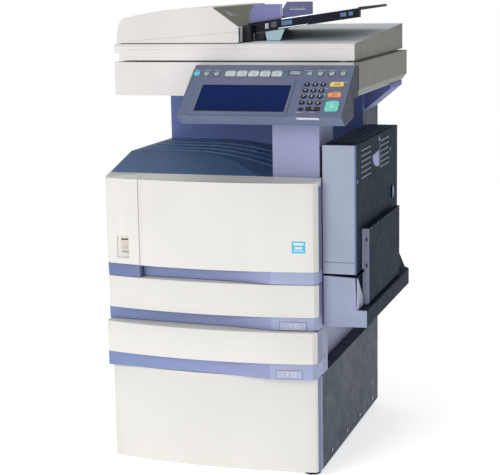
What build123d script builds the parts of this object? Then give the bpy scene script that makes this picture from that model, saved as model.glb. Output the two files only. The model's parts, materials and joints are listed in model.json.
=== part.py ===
"""Office photocopier: paper stand, two cassettes, print engine, side paper unit, scanner and feeder.

Model coordinates while drawing: x = 0 at the left cover and grows to the right, y = 0 at the front edge
of the side covers and grows to the back, z = 0 at the floor. place() moves every finished sub-part so
that the origin is the middle of the bottom of the whole machine. All sizes are in millimetres.
"""
import os
from math import atan2, cos, hypot, sin, sqrt

from build123d import *

# ---------------------------------------------------------------- driving dimensions
# body and stand
WIDTH = 530.0                # left cover to right cover
DEPTH = 594.0                # side covers, front edge to back
FOOT_HEIGHT = 15.0
STAND_TOP = 250.0
SHEET = 4.0                  # sheet-metal thickness of stand and frame
WALL = 3.0                   # moulded cover wall
GAP = 1.5                    # running gap between neighbouring front covers
COVER = 4.0                  # thickness of the left side cover
REAR_COVER = 8.0             # thickness of the rear cover
FOOT_RADIUS = 20.0
FOOT_X = (95.0, WIDTH - 30.0)
FOOT_Y = (12.0, DEPTH - 34.0)

# cover screws: (y, z) on the right side and (x, z) on the back
SIDE_SCREWS = ((372.0, 35.0), (234.0, 38.0), (80.0, 36.0), (520.0, 36.0), (24.0, 290.0))
REAR_SCREWS = ((30.0, 40.0), (265.0, 40.0), (WIDTH - 30.0, 40.0))
SCREW_RADIUS = 4.5
SCREW_HEAD = 2.0

# air slots: y or x ranges, count, lowest z, pitch and height
LEFT_SLOTS = ((380.0, 500.0), 8, 600.0, 9.0, 3.0)
REAR_SLOTS = (9, 560.0, 11.0, 4.0)
REAR_SLOT_XS = ((90.0, 210.0), (300.0, 420.0))

# mains inlet in the rear cover
INLET = (440.0, 470.0, 290.0, 312.0)         # x0, x1, z0, z1
INLET_DEPTH = 6.0
INLET_PINS = ((448.0, 297.0), (462.0, 297.0), (455.0, 305.0))
INLET_PIN = (1.5, 3.0)                       # half width and half height

# corner bracket behind the side unit
BRACKET_REACH = ((87.0, 348.0), (87.0, 391.0), (76.0, 395.0), (60.0, 434.0))  # past the cover, and z
BRACKET_OUTLINE = tuple((WIDTH + reach, z) for reach, z in BRACKET_REACH)
BRACKET_FRONT = DEPTH - 49.0

# front faces: depth forward of the side covers at both ends, and one bow for all of them
STAND_PANEL_DEPTH = 32.0
FRONT_DEPTH = 42.0           # front cover, narrow left cover and upper cassette
CASSETTE_2_DEPTH = 59.0      # the lower cassette stands prouder
FRONT_BOW = 25.0             # how far the middle of each front stands forward of its ends
BEVEL_X = 8.0                # bevel on the outer vertical edges
BEVEL_Y = 12.0
GRIP_SET_BACK = (12.0, 1.0)  # finger recess behind the face's ends: at its left end and at the curve
GRIP_CURVE_X = (WIDTH - 230.0, WIDTH - 165.0, WIDTH - 108.0)  # start, middle and flush end
GRIP_CURVE_MIDDLE = 8.0      # how far forward of the face's ends the curve's middle is

# heights of the front rows
GRIP_2_TOP = 289.0
FRONT_2_TOP = 365.0
GRIP_1_TOP = 397.0
FRONT_1_TOP = 475.0
DOOR_GRIP_TOP = 506.0
DOOR_TOP_FRONT = 714.0       # front edge of the sloping top of the front cover
DOOR_TOP_REAR = 722.0
GROOVE = 0.8                 # depth of the groove over the narrow left cover's coloured foot
LEFT_PANEL_WIDTH = 93.0
DOOR_CLEARANCE = 2.0         # front cover's back edge to the side covers
DOOR_AXIS_INSET = 4.0        # hinge axis from the cover's rear right corner, in x and in y
DOOR_KNUCKLE_RADIUS = 4.0
DOOR_PIN_RADIUS = 2.0
DOOR_KNUCKLE_HEIGHT = 12.0
DOOR_EAR = 4.0               # thickness of the fixed hinge ear
RUNNING = 0.05               # radial clearance of a pin or shaft in its hole

# power switch
SWITCH_POCKET = (32.0, 64.0, 521.0, 575.0)   # x0, x1, z0, z1
POCKET_DEPTH = 6.0
ROCKER_X = (43.0, 63.0)
ROCKER_HALF = 14.5
ROCKER_Z = 550.5
ROCKER_AXIS_DEPTH = 10.0     # axis behind the front face

# paper cassettes
TRAY_X = (24.0, WIDTH - 46.0)
TRAY_LENGTH = 470.0
TRAY_HEIGHT = 86.0
TRAY_LIFT = 4.0              # tray floor above the deck it slides over
TRAY_GUIDE_X = 60.0          # side guides, from the tray's sides
TRAY_GUIDE_Y = (120.0, 300.0)
TRAY_GUIDE_SHARE = 0.7       # guide height as a share of the tray's

# frame
FRAME_RIGHT_LOW = WIDTH - 36.0      # right plate beside the cassettes
FRAME_RIGHT_HIGH = WIDTH - 4.0     # right plate of the print engine
UPPER_DECK_Z = 480.0
ENGINE_TOP = 700.0           # sheet under the output tray
BEARING_PLATE_Y = (30.0, 424.0)
DRUM_CENTRE = (300.0, 600.0)
DRUM_RADIUS = 15.0
DRUM_Y = (60.0, 390.0)
SHAFT_RADIUS = 4.0
TONER_CENTRE = (160.0, 630.0)
TONER_RADIUS = 32.0
TONER_Y = (30.0, 400.0)

# lower right side and post
FLANGE_DEPTH = 48.0
POST_DEPTH = 44.0
COLUMN_X = (WIDTH - 118.0, WIDTH - 5.0)
COLUMN_Y = (5.0, 130.0)
SIDE_SPLIT_Z = 366.0         # top of the recessed lower right wall

# output tray
TRAY_TOP = 757.0
TRAY_FLAT_X = 150.0
TRAY_DROP = 49.14            # fall of the tray's arc from its flat left part to the front column
TRAY_ARC_RUN = COLUMN_X[0] - TRAY_FLAT_X
TRAY_ARC_RADIUS = (TRAY_ARC_RUN ** 2 + TRAY_DROP ** 2) / (2 * TRAY_DROP)
TRAY_FRONT_Z = 722.0
TRAY_SLOPE_Y = 138.0
TRAY_SKIN = 4.0
RIB_YS = (150.0, 205.0, 262.0, 320.0)
RIB_WIDTH = 7.0
RIB_HEIGHT = 3.0
RIB_LEFT = 20.0
RIB_END_GAP = 4.0            # between a rib's right end and the front column

# rear column and scanner
REAR_COLUMN_Y = DEPTH - 174.0
SCANNER_BOTTOM = 904.0
SCANNER_TOP = 984.0
SCANNER_RIGHT = WIDTH + 79.0
SCANNER_FRONT = 50.0
SCANNER_BEVEL = (14.0, 18.0)
FLARE_BOTTOM = 837.0
FLARE_X = WIDTH + 68.0
FLARE_EDGE = 11.0            # height of the flare's outer edge
FLARE_Y = REAR_COLUMN_Y + 19.0
GLASS_X = (60.0, 500.0)
GLASS_Y = (120.0, 430.0)
GLASS = 4.0
GLASS_SHELF = 6.0            # thickness of the scanner's top around the glass
GLASS_LEDGE = 6.0            # width of the ledge the glass lies on
RAIL_YS = (150.0, 400.0)
RAIL_RADIUS = 4.0
CARRIAGE_X = (70.0, 120.0)
CARRIAGE_Y = (130.0, 420.0)
CARRIAGE_Z = (925.0, 965.0)
RAIL_Z = 940.0

# document feeder
ADF_GAP = 4.0                # gap over the scanner, kept by four pads
PAD_CLEARANCE = 0.3
ADF_TOP = 1027.0
ADF_RIGHT = SCANNER_RIGHT - 11.0
ADF_FRONT = 52.0
ADF_REAR = DEPTH - 4.0
ADF_BACK_TOP = 1054.0
ADF_BAND = 12.0              # left inset of the lower band
ADF_BAND_TOP = 1005.0
ADF_LIP = 6.0                # bevel along the top front edge
ADF_GROOVE = 1.0             # depth of the groove along the front
ADF_GROOVE_Z = 1014.0
COVER_RIGHT = 314.0
COVER_Y = (58.0, 500.0)
COVER_LEFT_TOP = 1088.0
COVER_RIDGE = (241.0, 1113.0)
COVER_SHOULDER_Z = 1066.0
COVER_LEAN = 32.0            # how far the cover's front leans back at the ridge
COVER_GAP = 2.0
HINGE_Y = DEPTH + 9.0
HINGE_Z = 990.0
HINGE_RADIUS = 6.0
HINGE_PIN_RADIUS = 3.0
HINGE_XS = (90.0, 480.0)
HINGE_LUG = 30.0
HINGE_EAR = 12.0
HINGE_PLAY = 0.5             # between a lug and the ears beside it
HINGE_EAR_DROP = 20.0        # how far the fixed ears reach below the hinge line
ADF_PADS = (30.0, 20.0, 40.0, 14.0)  # left and front inset, right and rear inset, and width of a pad
ADF_THROAT = (30.0, 12.0, 40.0)      # paper throat under the lid: left x, right and rear inset, front inset
FEED_PLATE = (22.0, 14.0)    # half width of the feed roller's plates, and their height over the shaft
FEED_ROLLER = (262.0, 1046.0)
FEED_ROLLER_RADIUS = 12.0
FEED_ROLLER_Y = (190.0, 350.0)
FEED_PLATE_YS = (160.0, 376.0)

# document tray
DOC_X = (320.0, 592.0)
DOC_Y = (118.0, 424.0)
DOC_Z = 1048.0               # underside at the left end
DOC_SLOPE = 0.135
DOC_HEIGHT = 24.0
DOC_PLATE = 6.0              # thickness of the tray between its rails
DOC_RAIL = 22.0              # depth of the front rail
DOC_END_RAIL = 26.0          # width of the rail at the left end
DOC_PIVOT = (326.0, 1062.0)
DOC_PIVOT_RADIUS = 2.5
DOC_EAR = 5.0                # thickness of the ears beside the tray, and half their width
DOC_PIN = 10.0               # how far the pins reach into the tray
GUIDE_CLEARANCE = 0.3
GUIDE_X = (322.0, 402.0)
GUIDE_YS = (128.0, 409.0)    # outer faces of the front and the rear guide
GUIDE_TOP = 1117.0
GUIDE_FENCE = 5.0
GUIDE_FOOT = 34.0

# side paper unit
SIDE_X = (WIDTH + 3.0, WIDTH + 82.0)
SIDE_Y = 460.0
SIDE_Z = (496.0, 798.0)
SIDE_TOP_RIBS = tuple(SIDE_X[0] + 10.0 + 14.0 * step for step in range(5))
SLOT_COUNT = 6
SLOT_TOP_Z = 779.0
SLOT_PITCH = 13.0
SLOT_HEIGHT = 3.5
SLOT_GROUPS = ((56.0, 162.0), (261.0, 364.0))
LATCH_FLAT_Y = 253.0
LATCH_Z = (717.0, 778.0)
LATCH_LENGTH = 78.0
LATCH_BACKSET = 3.0
KNOB_Y = 385.0
KNOB_Z = 634.0
KNOB_RADIUS = 17.0
BLOCK_TOP = 491.0
BLOCK_BOTTOM = 368.0
BLOCK_STEP_Z = 411.0
BLOCK_RIGHT = SIDE_X[1] + 25.0
SIDE_AXIS = (SIDE_X[0] + 5.0, BLOCK_BOTTOM + 3.0)

# bypass tray, folded up against the side unit
BYPASS_X = (SIDE_X[1] + 5.0, SIDE_X[1] + 17.0)
BYPASS_Y = (60.0, 409.0)
BYPASS_TOP = 595.0
BYPASS_AXIS_Z = 418.0

# control panel: a tilted face between a low front edge and a high rear edge
PANEL_X = (218.0, SCANNER_RIGHT - 2.0)
PANEL_LOW = (-110.0, 873.0)
PANEL_HIGH = (24.0, 978.0)
PANEL_LIP = (-75.0, 851.0)
PANEL_UNDER_Z = 862.0
PANEL_BACK_Z = 906.0
PANEL_BACK_Y = 3.0
PANEL_CHAMFER = 14.0
KEY_CLEARANCE = 0.4
KEY_PROUD = 1.8
KEY_FLANGE = 1.5
LCD = (257.0, 470.0, 15.0, 101.0)            # x0, x1 and up the face from, to
BEZEL = (241.0, 477.0, 5.0, 122.0)
BEZEL_HEIGHT = 2.0

# number block: columns and rows on the panel face
PAD_COLUMNS = (506.0, 524.8, 543.6)
PAD_ROWS = (107.0, 86.9, 66.8, 46.7)
PAD_KEY = (13.0, 11.0)
PAD_NAMES = ("1", "2", "3", "4", "5", "6", "7", "8", "9", "star", "0", "hash")
MODE_FIRST_X = 313.7
MODE_PITCH = 28.2
TOP_ROW = 141.0
MODE_KEY = (25.0, 16.5)

# ---------------------------------------------------------------- derived places
OVERALL_RIGHT = max(BLOCK_RIGHT, DOC_X[1])
OVERALL_REAR = HINGE_Y + HINGE_RADIUS
X_MID = OVERALL_RIGHT / 2
Y_MID = (PANEL_LOW[0] + OVERALL_REAR) / 2
DOOR_AXIS = (WIDTH - DOOR_AXIS_INSET, -DOOR_CLEARANCE - DOOR_AXIS_INSET)
DOOR_HINGE_ZS = (DOOR_GRIP_TOP + WALL, DOOR_TOP_FRONT - WALL - 2 * DOOR_KNUCKLE_HEIGHT)
PANEL_RISE = PANEL_HIGH[1] - PANEL_LOW[1]
PANEL_RUN = PANEL_HIGH[0] - PANEL_LOW[0]
PANEL_LENGTH = hypot(PANEL_RUN, PANEL_RISE)
PANEL_ANGLE = atan2(PANEL_RISE, PANEL_RUN)
REAR_WALL = DEPTH - REAR_COVER


# ---------------------------------------------------------------- helpers
def block(x0, x1, y0, y1, z0, z1):
    """Box between two opposite corners."""
    return Pos((x0 + x1) / 2, (y0 + y1) / 2, (z0 + z1) / 2) * Box(x1 - x0, y1 - y0, z1 - z0)


def prism_x(points, x0, x1):
    """Solid with an outline of (y, z) points, from x0 to x1."""
    outline = Polyline(*[(x0, y, z) for y, z in points], close=True)
    return extrude(make_face(outline), amount=x1 - x0, dir=(1, 0, 0))


def prism_y(points, y0, y1):
    """Solid with an outline of (x, z) points, from y0 to y1."""
    outline = Polyline(*[(x, y0, z) for x, z in points], close=True)
    return extrude(make_face(outline), amount=y1 - y0, dir=(0, 1, 0))


def prism_z(points, z0, z1):
    """Solid with an outline of (x, y) points, from z0 to z1."""
    outline = Polyline(*[(x, y, z0) for x, y in points], close=True)
    return extrude(make_face(outline), amount=z1 - z0, dir=(0, 0, 1))


def rod_x(y, z, radius, x0, x1):
    """Round bar along x."""
    return Pos((x0 + x1) / 2, y, z) * Rot(0, 90, 0) * Cylinder(radius, x1 - x0)


def rod_y(x, z, radius, y0, y1):
    """Round bar along y."""
    return Pos(x, (y0 + y1) / 2, z) * Rot(90, 0, 0) * Cylinder(radius, y1 - y0)


def rod_z(x, y, radius, z0, z1):
    """Round bar along z."""
    return Pos(x, y, (z0 + z1) / 2) * Cylinder(radius, z1 - z0)


def on_panel(shape):
    """Moves a shape drawn on the panel face (x, up the face, outward) to its place."""
    face = Plane(origin=(0, *PANEL_LOW), x_dir=(1, 0, 0), z_dir=(0, -sin(PANEL_ANGLE), cos(PANEL_ANGLE)))
    return face.location * shape


def bowed(x, face_y):
    """y of the bowed front face at x; face_y is where its two ends are."""
    half = WIDTH / 2 - BEVEL_X
    radius = (half ** 2 + FRONT_BOW ** 2) / (2 * FRONT_BOW)
    return face_y - FRONT_BOW + radius - sqrt(radius ** 2 - (x - WIDTH / 2) ** 2)


def bowed_edge(x0, x1, face_y):
    """Arc of the front face between two places along x."""
    middle = (x0 + x1) / 2
    return ThreePointArc(*[(x, bowed(x, face_y)) for x in (x0, middle, x1)])


def closed_plan(points, curved_edges):
    """Flat face: some curved edges, closed by straight lines through the points."""
    lines = [Line(a, b) for a, b in zip(points, points[1:])]
    return make_face(curved_edges + lines)


def front_block(x0, x1, face_y, back_y, z0, z1, bevel_left=True, bevel_right=True, inset=0.0):
    """Solid behind a bowed front face, with bevelled outer edges, drawn in by inset."""
    left, right, front = x0 + inset, x1 - inset, face_y + inset
    start = left + BEVEL_X if bevel_left else left
    end = right - BEVEL_X if bevel_right else right
    points = [(end, bowed(end, front))]
    if bevel_right:
        points.append((right, front + BEVEL_Y))
    points += [(right, back_y), (left, back_y)]
    if bevel_left:
        points.append((left, front + BEVEL_Y))
    points.append((start, bowed(start, front)))
    plan = closed_plan(points, [bowed_edge(start, end, front)])
    return Pos(0, 0, z0) * extrude(plan, amount=z1 - z0, dir=(0, 0, 1))


def front_shell(x0, x1, face_y, back_y, z0, z1, bevel_left=True, bevel_right=True):
    """Hollow front cover, open at the back."""
    outer = front_block(x0, x1, face_y, back_y, z0, z1, bevel_left, bevel_right)
    inner = front_block(x0, x1, face_y, back_y + WALL, z0 + WALL, z1 - WALL, bevel_left, bevel_right, WALL)
    return outer - inner


def grip_block(x0, x1, face_y, back_y, z0, z1, inset=0.0):
    """Solid of a grip strip: a finger recess on the left that curves out to flush on the right."""
    left, right, front = x0 + inset, x1 - inset, face_y + inset
    curve_0, curve_1, curve_2 = GRIP_CURVE_X
    slope = (GRIP_SET_BACK[1] - GRIP_SET_BACK[0]) / curve_0
    start = (left, front + GRIP_SET_BACK[0] + slope * left)
    curve = (curve_0, front + GRIP_SET_BACK[1])
    flush = (curve_2, bowed(curve_2, front))
    end = right - BEVEL_X
    front_edges = [
        Line(start, curve),
        ThreePointArc(curve, (curve_1, front - GRIP_CURVE_MIDDLE), flush),
        bowed_edge(curve_2, end, front),
    ]
    points = [(end, bowed(end, front)), (right, front + BEVEL_Y), (right, back_y), (left, back_y), start]
    plan = closed_plan(points, front_edges)
    return Pos(0, 0, z0) * extrude(plan, amount=z1 - z0, dir=(0, 0, 1))


def grip_shell(x0, x1, face_y, back_y, z0, z1):
    """Grip strip: a hollow moulding, open at the back, with the finger recess in front."""
    outer = grip_block(x0, x1, face_y, back_y, z0, z1)
    return outer - grip_block(x0, x1, face_y, back_y + WALL, z0 + WALL, z1 - WALL, WALL)


def sloped_top_cut(x0, x1):
    """Everything above the top of the engine's two front covers: level in front, then rising."""
    low, high = DOOR_TOP_FRONT, DOOR_TOP_REAR
    far = high + 20
    front = -FRONT_DEPTH - FRONT_BOW - 5
    outline = [(front, low), (-FRONT_DEPTH, low), (0, high), (5, high), (5, far), (front, far)]
    return prism_x(outline, x0 - 1, x1 + 1)


def roofed_front(x0, x1, back_y, z0, bevel_left, bevel_right):
    """Front shell of the print engine with its sloping roof."""
    high = DOOR_TOP_REAR + 10
    cut = sloped_top_cut(x0, x1)
    shell = front_shell(x0, x1, -FRONT_DEPTH, back_y, z0, high, bevel_left, bevel_right) - cut
    low = DOOR_TOP_FRONT - 2 * WALL
    roof = front_block(x0, x1, -FRONT_DEPTH, back_y, low, high, bevel_left, bevel_right) - cut
    return shell + (roof - Pos(0, 0, -WALL) * roof)


# ---------------------------------------------------------------- stand
def stand_cabinet():
    """Steel stand: bottom, back, two sides and a top sheet, open at the front."""
    outer = block(0, WIDTH, 0, DEPTH, FOOT_HEIGHT, STAND_TOP)
    room = block(SHEET, WIDTH - SHEET, -1, DEPTH - SHEET, FOOT_HEIGHT + SHEET, STAND_TOP - SHEET)
    return outer - room


def stand_front_panel():
    """White panel that closes the stand."""
    return front_shell(0, WIDTH, -STAND_PANEL_DEPTH, 0, FOOT_HEIGHT, STAND_TOP)


def stand_feet():
    """Four levelling feet: a wide disc on a short neck."""
    feet = []
    for x in FOOT_X:
        for y in FOOT_Y:
            disc = rod_z(x, y, FOOT_RADIUS, 0, FOOT_HEIGHT * 0.6)
            neck = rod_z(x, y, FOOT_RADIUS * 0.5, FOOT_HEIGHT * 0.6, FOOT_HEIGHT)
            feet.append(disc + neck)
    return Compound(children=feet)


# ---------------------------------------------------------------- frame and fixed covers
def body_frame():
    """Welded sheet frame: decks, side plates, rear plate and two bearing plates."""
    right = FRAME_RIGHT_LOW
    high = FRAME_RIGHT_HIGH
    back = REAR_WALL
    deck_z = FRONT_2_TOP - SHEET
    frame = block(COVER, right, SHEET, back, STAND_TOP, STAND_TOP + SHEET)
    frame += block(COVER, COVER + SHEET, SHEET, back, STAND_TOP, ENGINE_TOP)
    frame += block(right - SHEET, right, SHEET, back, STAND_TOP, SIDE_SPLIT_Z)
    frame += block(COVER, high, back - SHEET, back, STAND_TOP + SHEET, SCANNER_BOTTOM - SHEET) - block(
        right, high + 1, back - SHEET - 1, back + 1, STAND_TOP, SIDE_SPLIT_Z - SHEET)
    frame += block(COVER, right, SHEET, back, deck_z, deck_z + SHEET)
    frame += block(right - SHEET, high, POST_DEPTH + 2, back, SIDE_SPLIT_Z - SHEET, SIDE_SPLIT_Z)
    frame += block(high - SHEET, high, POST_DEPTH + 2, back, SIDE_SPLIT_Z, ENGINE_TOP)
    frame += block(COVER, right, SHEET, back, UPPER_DECK_Z - SHEET, UPPER_DECK_Z)
    frame += block(right - SHEET, high, POST_DEPTH + 2, back, UPPER_DECK_Z - SHEET, UPPER_DECK_Z)
    frame += block(COVER, right, SHEET, back, ENGINE_TOP - SHEET, ENGINE_TOP)
    frame += block(right - SHEET, high, POST_DEPTH + 2, back, ENGINE_TOP - SHEET, ENGINE_TOP)
    for y in BEARING_PLATE_Y:
        plate = block(COVER, right, y, y + SHEET, UPPER_DECK_Z, ENGINE_TOP - SHEET)
        plate -= rod_y(*DRUM_CENTRE, SHAFT_RADIUS + RUNNING, y - 1, y + SHEET + 1)
        frame += plate
    frame -= rod_y(*TONER_CENTRE, TONER_RADIUS, BEARING_PLATE_Y[0] - 1, BEARING_PLATE_Y[0] + SHEET + 1)
    return frame


def left_cover():
    """Left side cover, one flat panel with a row of air slots."""
    cover = block(0, COVER, 0, REAR_WALL, STAND_TOP, ENGINE_TOP)
    (y0, y1), count, low, pitch, height = LEFT_SLOTS
    for step in range(count):
        z = low + step * pitch
        cover -= block(-1, COVER + 1, y0, y1, z, z + height)
    return cover


def rear_cover():
    """Back cover with air slots, the mains inlet and a corner bracket on the right."""
    cover = block(0, WIDTH, REAR_WALL, DEPTH, STAND_TOP, SCANNER_BOTTOM)
    count, low, pitch, height = REAR_SLOTS
    for x0, x1 in REAR_SLOT_XS:
        for step in range(count):
            z = low + step * pitch
            cover -= block(x0, x1, REAR_WALL - 1, DEPTH + 1, z, z + height)
    x0, x1, z0, z1 = INLET
    floor = DEPTH - INLET_DEPTH
    cover -= block(x0, x1, floor, DEPTH + 1, z0, z1)
    half_x, half_z = INLET_PIN
    for x, z in INLET_PINS:
        cover += block(x - half_x, x + half_x, floor - 0.5, DEPTH - 1, z - half_z, z + half_z)
    low, high = BRACKET_OUTLINE[0][1], BRACKET_OUTLINE[-1][1]
    outline = [(WIDTH, low), *BRACKET_OUTLINE, (WIDTH, high)]
    corners = [(x - WALL, min(max(z - 2.0, low + WALL), high - WALL)) for x, z in BRACKET_OUTLINE]
    room = [(WIDTH - 1, low + WALL), *corners, (WIDTH - 1, high - WALL)]
    bracket = prism_y(outline, BRACKET_FRONT, DEPTH) - prism_y(room, BRACKET_FRONT + WALL, DEPTH - WALL)
    return cover + bracket


def right_lower_cover():
    """Lower right side: a front flange and the recessed wall behind it."""
    inner = FRAME_RIGHT_LOW
    top = SIDE_SPLIT_Z - SHEET
    cover = block(inner, WIDTH, 0, WALL, STAND_TOP, top)
    cover += block(WIDTH - WALL, WIDTH, 0, FLANGE_DEPTH, STAND_TOP, top)
    cover += block(inner, WIDTH, FLANGE_DEPTH - WALL, FLANGE_DEPTH, STAND_TOP, top)
    cover += block(inner, inner + WALL, 0, REAR_WALL, STAND_TOP, top)
    return cover


def rear_column_cover():
    """Blue wall behind the output tray, with the flare that carries the scanner's right end."""
    low, high, front = ENGINE_TOP, SCANNER_BOTTOM, REAR_COLUMN_Y
    outer = block(0, WIDTH, front, REAR_WALL, low, high)
    room = block(WALL, WIDTH - WALL, front + WALL, REAR_WALL + 1, low - 1, high - WALL)
    slope = [(WIDTH, FLARE_BOTTOM), (FLARE_X, high - FLARE_EDGE), (FLARE_X, high), (WIDTH, high)]
    flare = prism_y(slope, FLARE_Y, REAR_WALL)
    return outer - room + flare


def door_hinge_ear(z):
    """Fixed ear and pin of one front cover hinge."""
    x, y = DOOR_AXIS
    ear_z = z + DOOR_KNUCKLE_HEIGHT + 0.5
    ear = block(x - 3, x + 3, y, WALL, ear_z, ear_z + DOOR_EAR) + rod_z(x, y, 3, ear_z, ear_z + DOOR_EAR)
    return ear + rod_z(x, y, DOOR_PIN_RADIUS, z + 1, ear_z)


def front_column_cover():
    """Lavender column at the front right, with the slim post that runs down beside the fronts."""
    (x0, x1), (y0, y1) = COLUMN_X, COLUMN_Y
    inner = FRAME_RIGHT_LOW
    post_bottom = SIDE_SPLIT_Z - SHEET
    outer = block(x0, x1, y0, y1, ENGINE_TOP, SCANNER_BOTTOM)
    outer += block(inner, WIDTH, 0, POST_DEPTH, post_bottom, TRAY_FRONT_Z)
    room = block(x0 + WALL, x1 - WALL, y0 + WALL, y1 - WALL, ENGINE_TOP + WALL, SCANNER_BOTTOM - WALL)
    room += block(inner + WALL, WIDTH - WALL, WALL, POST_DEPTH - WALL, post_bottom - 1, TRAY_FRONT_Z - WALL)
    column = outer - room
    for z in DOOR_HINGE_ZS:
        column += door_hinge_ear(z)
    return column


def tray_profile(drop, x0, x1, z_bottom):
    """Section of the output tray: flat on the left, falling in one arc to a flat right end."""
    def on_arc(x):
        fall = x - TRAY_FLAT_X
        return (x, 0, TRAY_TOP - drop - TRAY_ARC_RADIUS + sqrt(TRAY_ARC_RADIUS ** 2 - fall ** 2))

    start, end = on_arc(TRAY_FLAT_X), on_arc(COLUMN_X[0])
    arc = ThreePointArc(start, on_arc((TRAY_FLAT_X + COLUMN_X[0]) / 2), end)
    corners = [end, (x1, 0, end[2]), (x1, 0, z_bottom), (x0, 0, z_bottom), (x0, 0, TRAY_TOP - drop), start]
    return closed_plan(corners, [arc])


def exit_tray():
    """Dark output tray with cross ribs, sloping down to the front cover."""
    right = FRAME_RIGHT_HIGH
    slope = (TRAY_TOP - TRAY_FRONT_Z) / TRAY_SLOPE_Y

    def above_slope(drop):
        low = TRAY_FRONT_Z - drop
        foot = (-5, low - 5 * slope)
        crest = (TRAY_SLOPE_Y, low + TRAY_SLOPE_Y * slope)
        return prism_x([foot, crest, (TRAY_SLOPE_Y, SCANNER_BOTTOM), (-5, SCANNER_BOTTOM)], -1, right + 1)

    outer = extrude(tray_profile(0, 0, right, ENGINE_TOP), amount=REAR_COLUMN_Y, dir=(0, 1, 0))
    outer -= above_slope(0)
    room_face = tray_profile(TRAY_SKIN, TRAY_SKIN, right - TRAY_SKIN, ENGINE_TOP - 1)
    room = extrude(room_face, amount=REAR_COLUMN_Y - 2 * TRAY_SKIN, dir=(0, 1, 0))
    room = Pos(0, TRAY_SKIN, 0) * room - above_slope(TRAY_SKIN)
    tray = outer - room
    rib_face = tray_profile(-RIB_HEIGHT, RIB_LEFT, COLUMN_X[0] - RIB_END_GAP, ENGINE_TOP + WALL)
    rib = extrude(rib_face, amount=RIB_WIDTH, dir=(0, 1, 0))
    for y in RIB_YS:
        tray += Pos(0, y, 0) * rib - room
    tray -= block(COLUMN_X[0], right + 1, -1, COLUMN_Y[1], ENGINE_TOP - 1, TRAY_TOP)
    return tray


def switch_face():
    """y of the bowed face at the middle of the switch pocket."""
    return bowed((SWITCH_POCKET[0] + SWITCH_POCKET[1]) / 2, -FRONT_DEPTH)


def front_left_panel():
    """Narrow cover beside the door, with the pocket of the power switch and a groove over its foot."""
    x0, x1, z0, z1 = SWITCH_POCKET
    face = switch_face()
    right = LEFT_PANEL_WIDTH
    panel = roofed_front(0, right, 0, FRONT_1_TOP + GAP, True, False)
    walls = block(x0 - WALL, x1 + WALL, face - 6, face + POCKET_DEPTH + WALL, z0 - WALL, z1 + WALL)
    panel += walls & front_block(0, right, -FRONT_DEPTH, 0, z0 - 2 * WALL, z1 + 2 * WALL, True, False)
    panel -= block(x0, x1, face - 10, face + POCKET_DEPTH, z0, z1)
    hole = ROCKER_HALF + 2.5
    panel -= block(ROCKER_X[0] - 1, ROCKER_X[1] + 1, face, face + 30, ROCKER_Z - hole, ROCKER_Z + hole)
    low, high = DOOR_GRIP_TOP - GROOVE / 2, DOOR_GRIP_TOP + GROOVE / 2
    around = block(-1, right, -FRONT_DEPTH - FRONT_BOW, 0, low, high)
    around -= front_block(0, right + GROOVE, -FRONT_DEPTH, 0, low, high, True, False, GROOVE)
    return panel - around


def power_switch():
    """Rocker of the power switch, slightly dished, on its cross pin."""
    face = switch_face() + 2.0
    axis = switch_face() + ROCKER_AXIS_DEPTH
    low, high = ROCKER_Z - ROCKER_HALF, ROCKER_Z + ROCKER_HALF
    outline = [(face, low), (face + 2, ROCKER_Z), (face, high), (axis + 3, high - 6), (axis + 3, low + 6)]
    return prism_x(outline, *ROCKER_X) + rod_x(axis, ROCKER_Z, 2, ROCKER_X[0] - 0.8, ROCKER_X[1] + 0.8)


# ---------------------------------------------------------------- front cover
def front_cover():
    """Door of the print engine: a hollow cover hinged on its right edge."""
    door = roofed_front(LEFT_PANEL_WIDTH + GAP, WIDTH, -DOOR_CLEARANCE, DOOR_GRIP_TOP, False, True)
    x, y = DOOR_AXIS
    for z in DOOR_HINGE_ZS:
        door += rod_z(x, y, DOOR_KNUCKLE_RADIUS, z, z + DOOR_KNUCKLE_HEIGHT)
        ear_z = z + DOOR_KNUCKLE_HEIGHT
        door -= rod_z(x, y, DOOR_PIN_RADIUS + RUNNING, z, ear_z + 1)
        door -= block(x - 12, x + 6, y - 8, 1, ear_z, ear_z + DOOR_EAR + 1)
    return door


def front_cover_grip():
    """Grip strip under the front cover."""
    bottom = FRONT_1_TOP + GAP
    return grip_shell(LEFT_PANEL_WIDTH + GAP, WIDTH, -FRONT_DEPTH, -DOOR_CLEARANCE, bottom, DOOR_GRIP_TOP)


# ---------------------------------------------------------------- cassettes
CASSETTES = {
    "cassette_1": (FRONT_DEPTH, FRONT_2_TOP + GAP, GRIP_1_TOP, FRONT_1_TOP),
    "cassette_2": (CASSETTE_2_DEPTH, STAND_TOP + GAP, GRIP_2_TOP, FRONT_2_TOP),
}


def cassette_tray(bottom):
    """Open paper tray with side guides and a lift plate standing on its floor."""
    x0, x1 = TRAY_X
    z0 = bottom + TRAY_LIFT
    tray = block(x0, x1, 0, TRAY_LENGTH, z0, z0 + TRAY_HEIGHT)
    tray -= block(x0 + WALL, x1 - WALL, WALL, TRAY_LENGTH - WALL, z0 + WALL, z0 + TRAY_HEIGHT + 1)
    for x in (x0 + TRAY_GUIDE_X, x1 - TRAY_GUIDE_X - WALL):
        tray += block(x, x + WALL, *TRAY_GUIDE_Y, z0 + WALL, z0 + TRAY_HEIGHT * TRAY_GUIDE_SHARE)
    return tray


# ---------------------------------------------------------------- print engine
def toner_cartridge():
    """Round toner bottle with a grip cap at the front."""
    y0, y1 = TONER_Y
    bottle = rod_y(*TONER_CENTRE, TONER_RADIUS - RUNNING, y0, y1)
    x, z = TONER_CENTRE
    return bottle + block(x - 18, x + 18, y0 - 14, y0, z - 4, z + 4)


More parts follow.
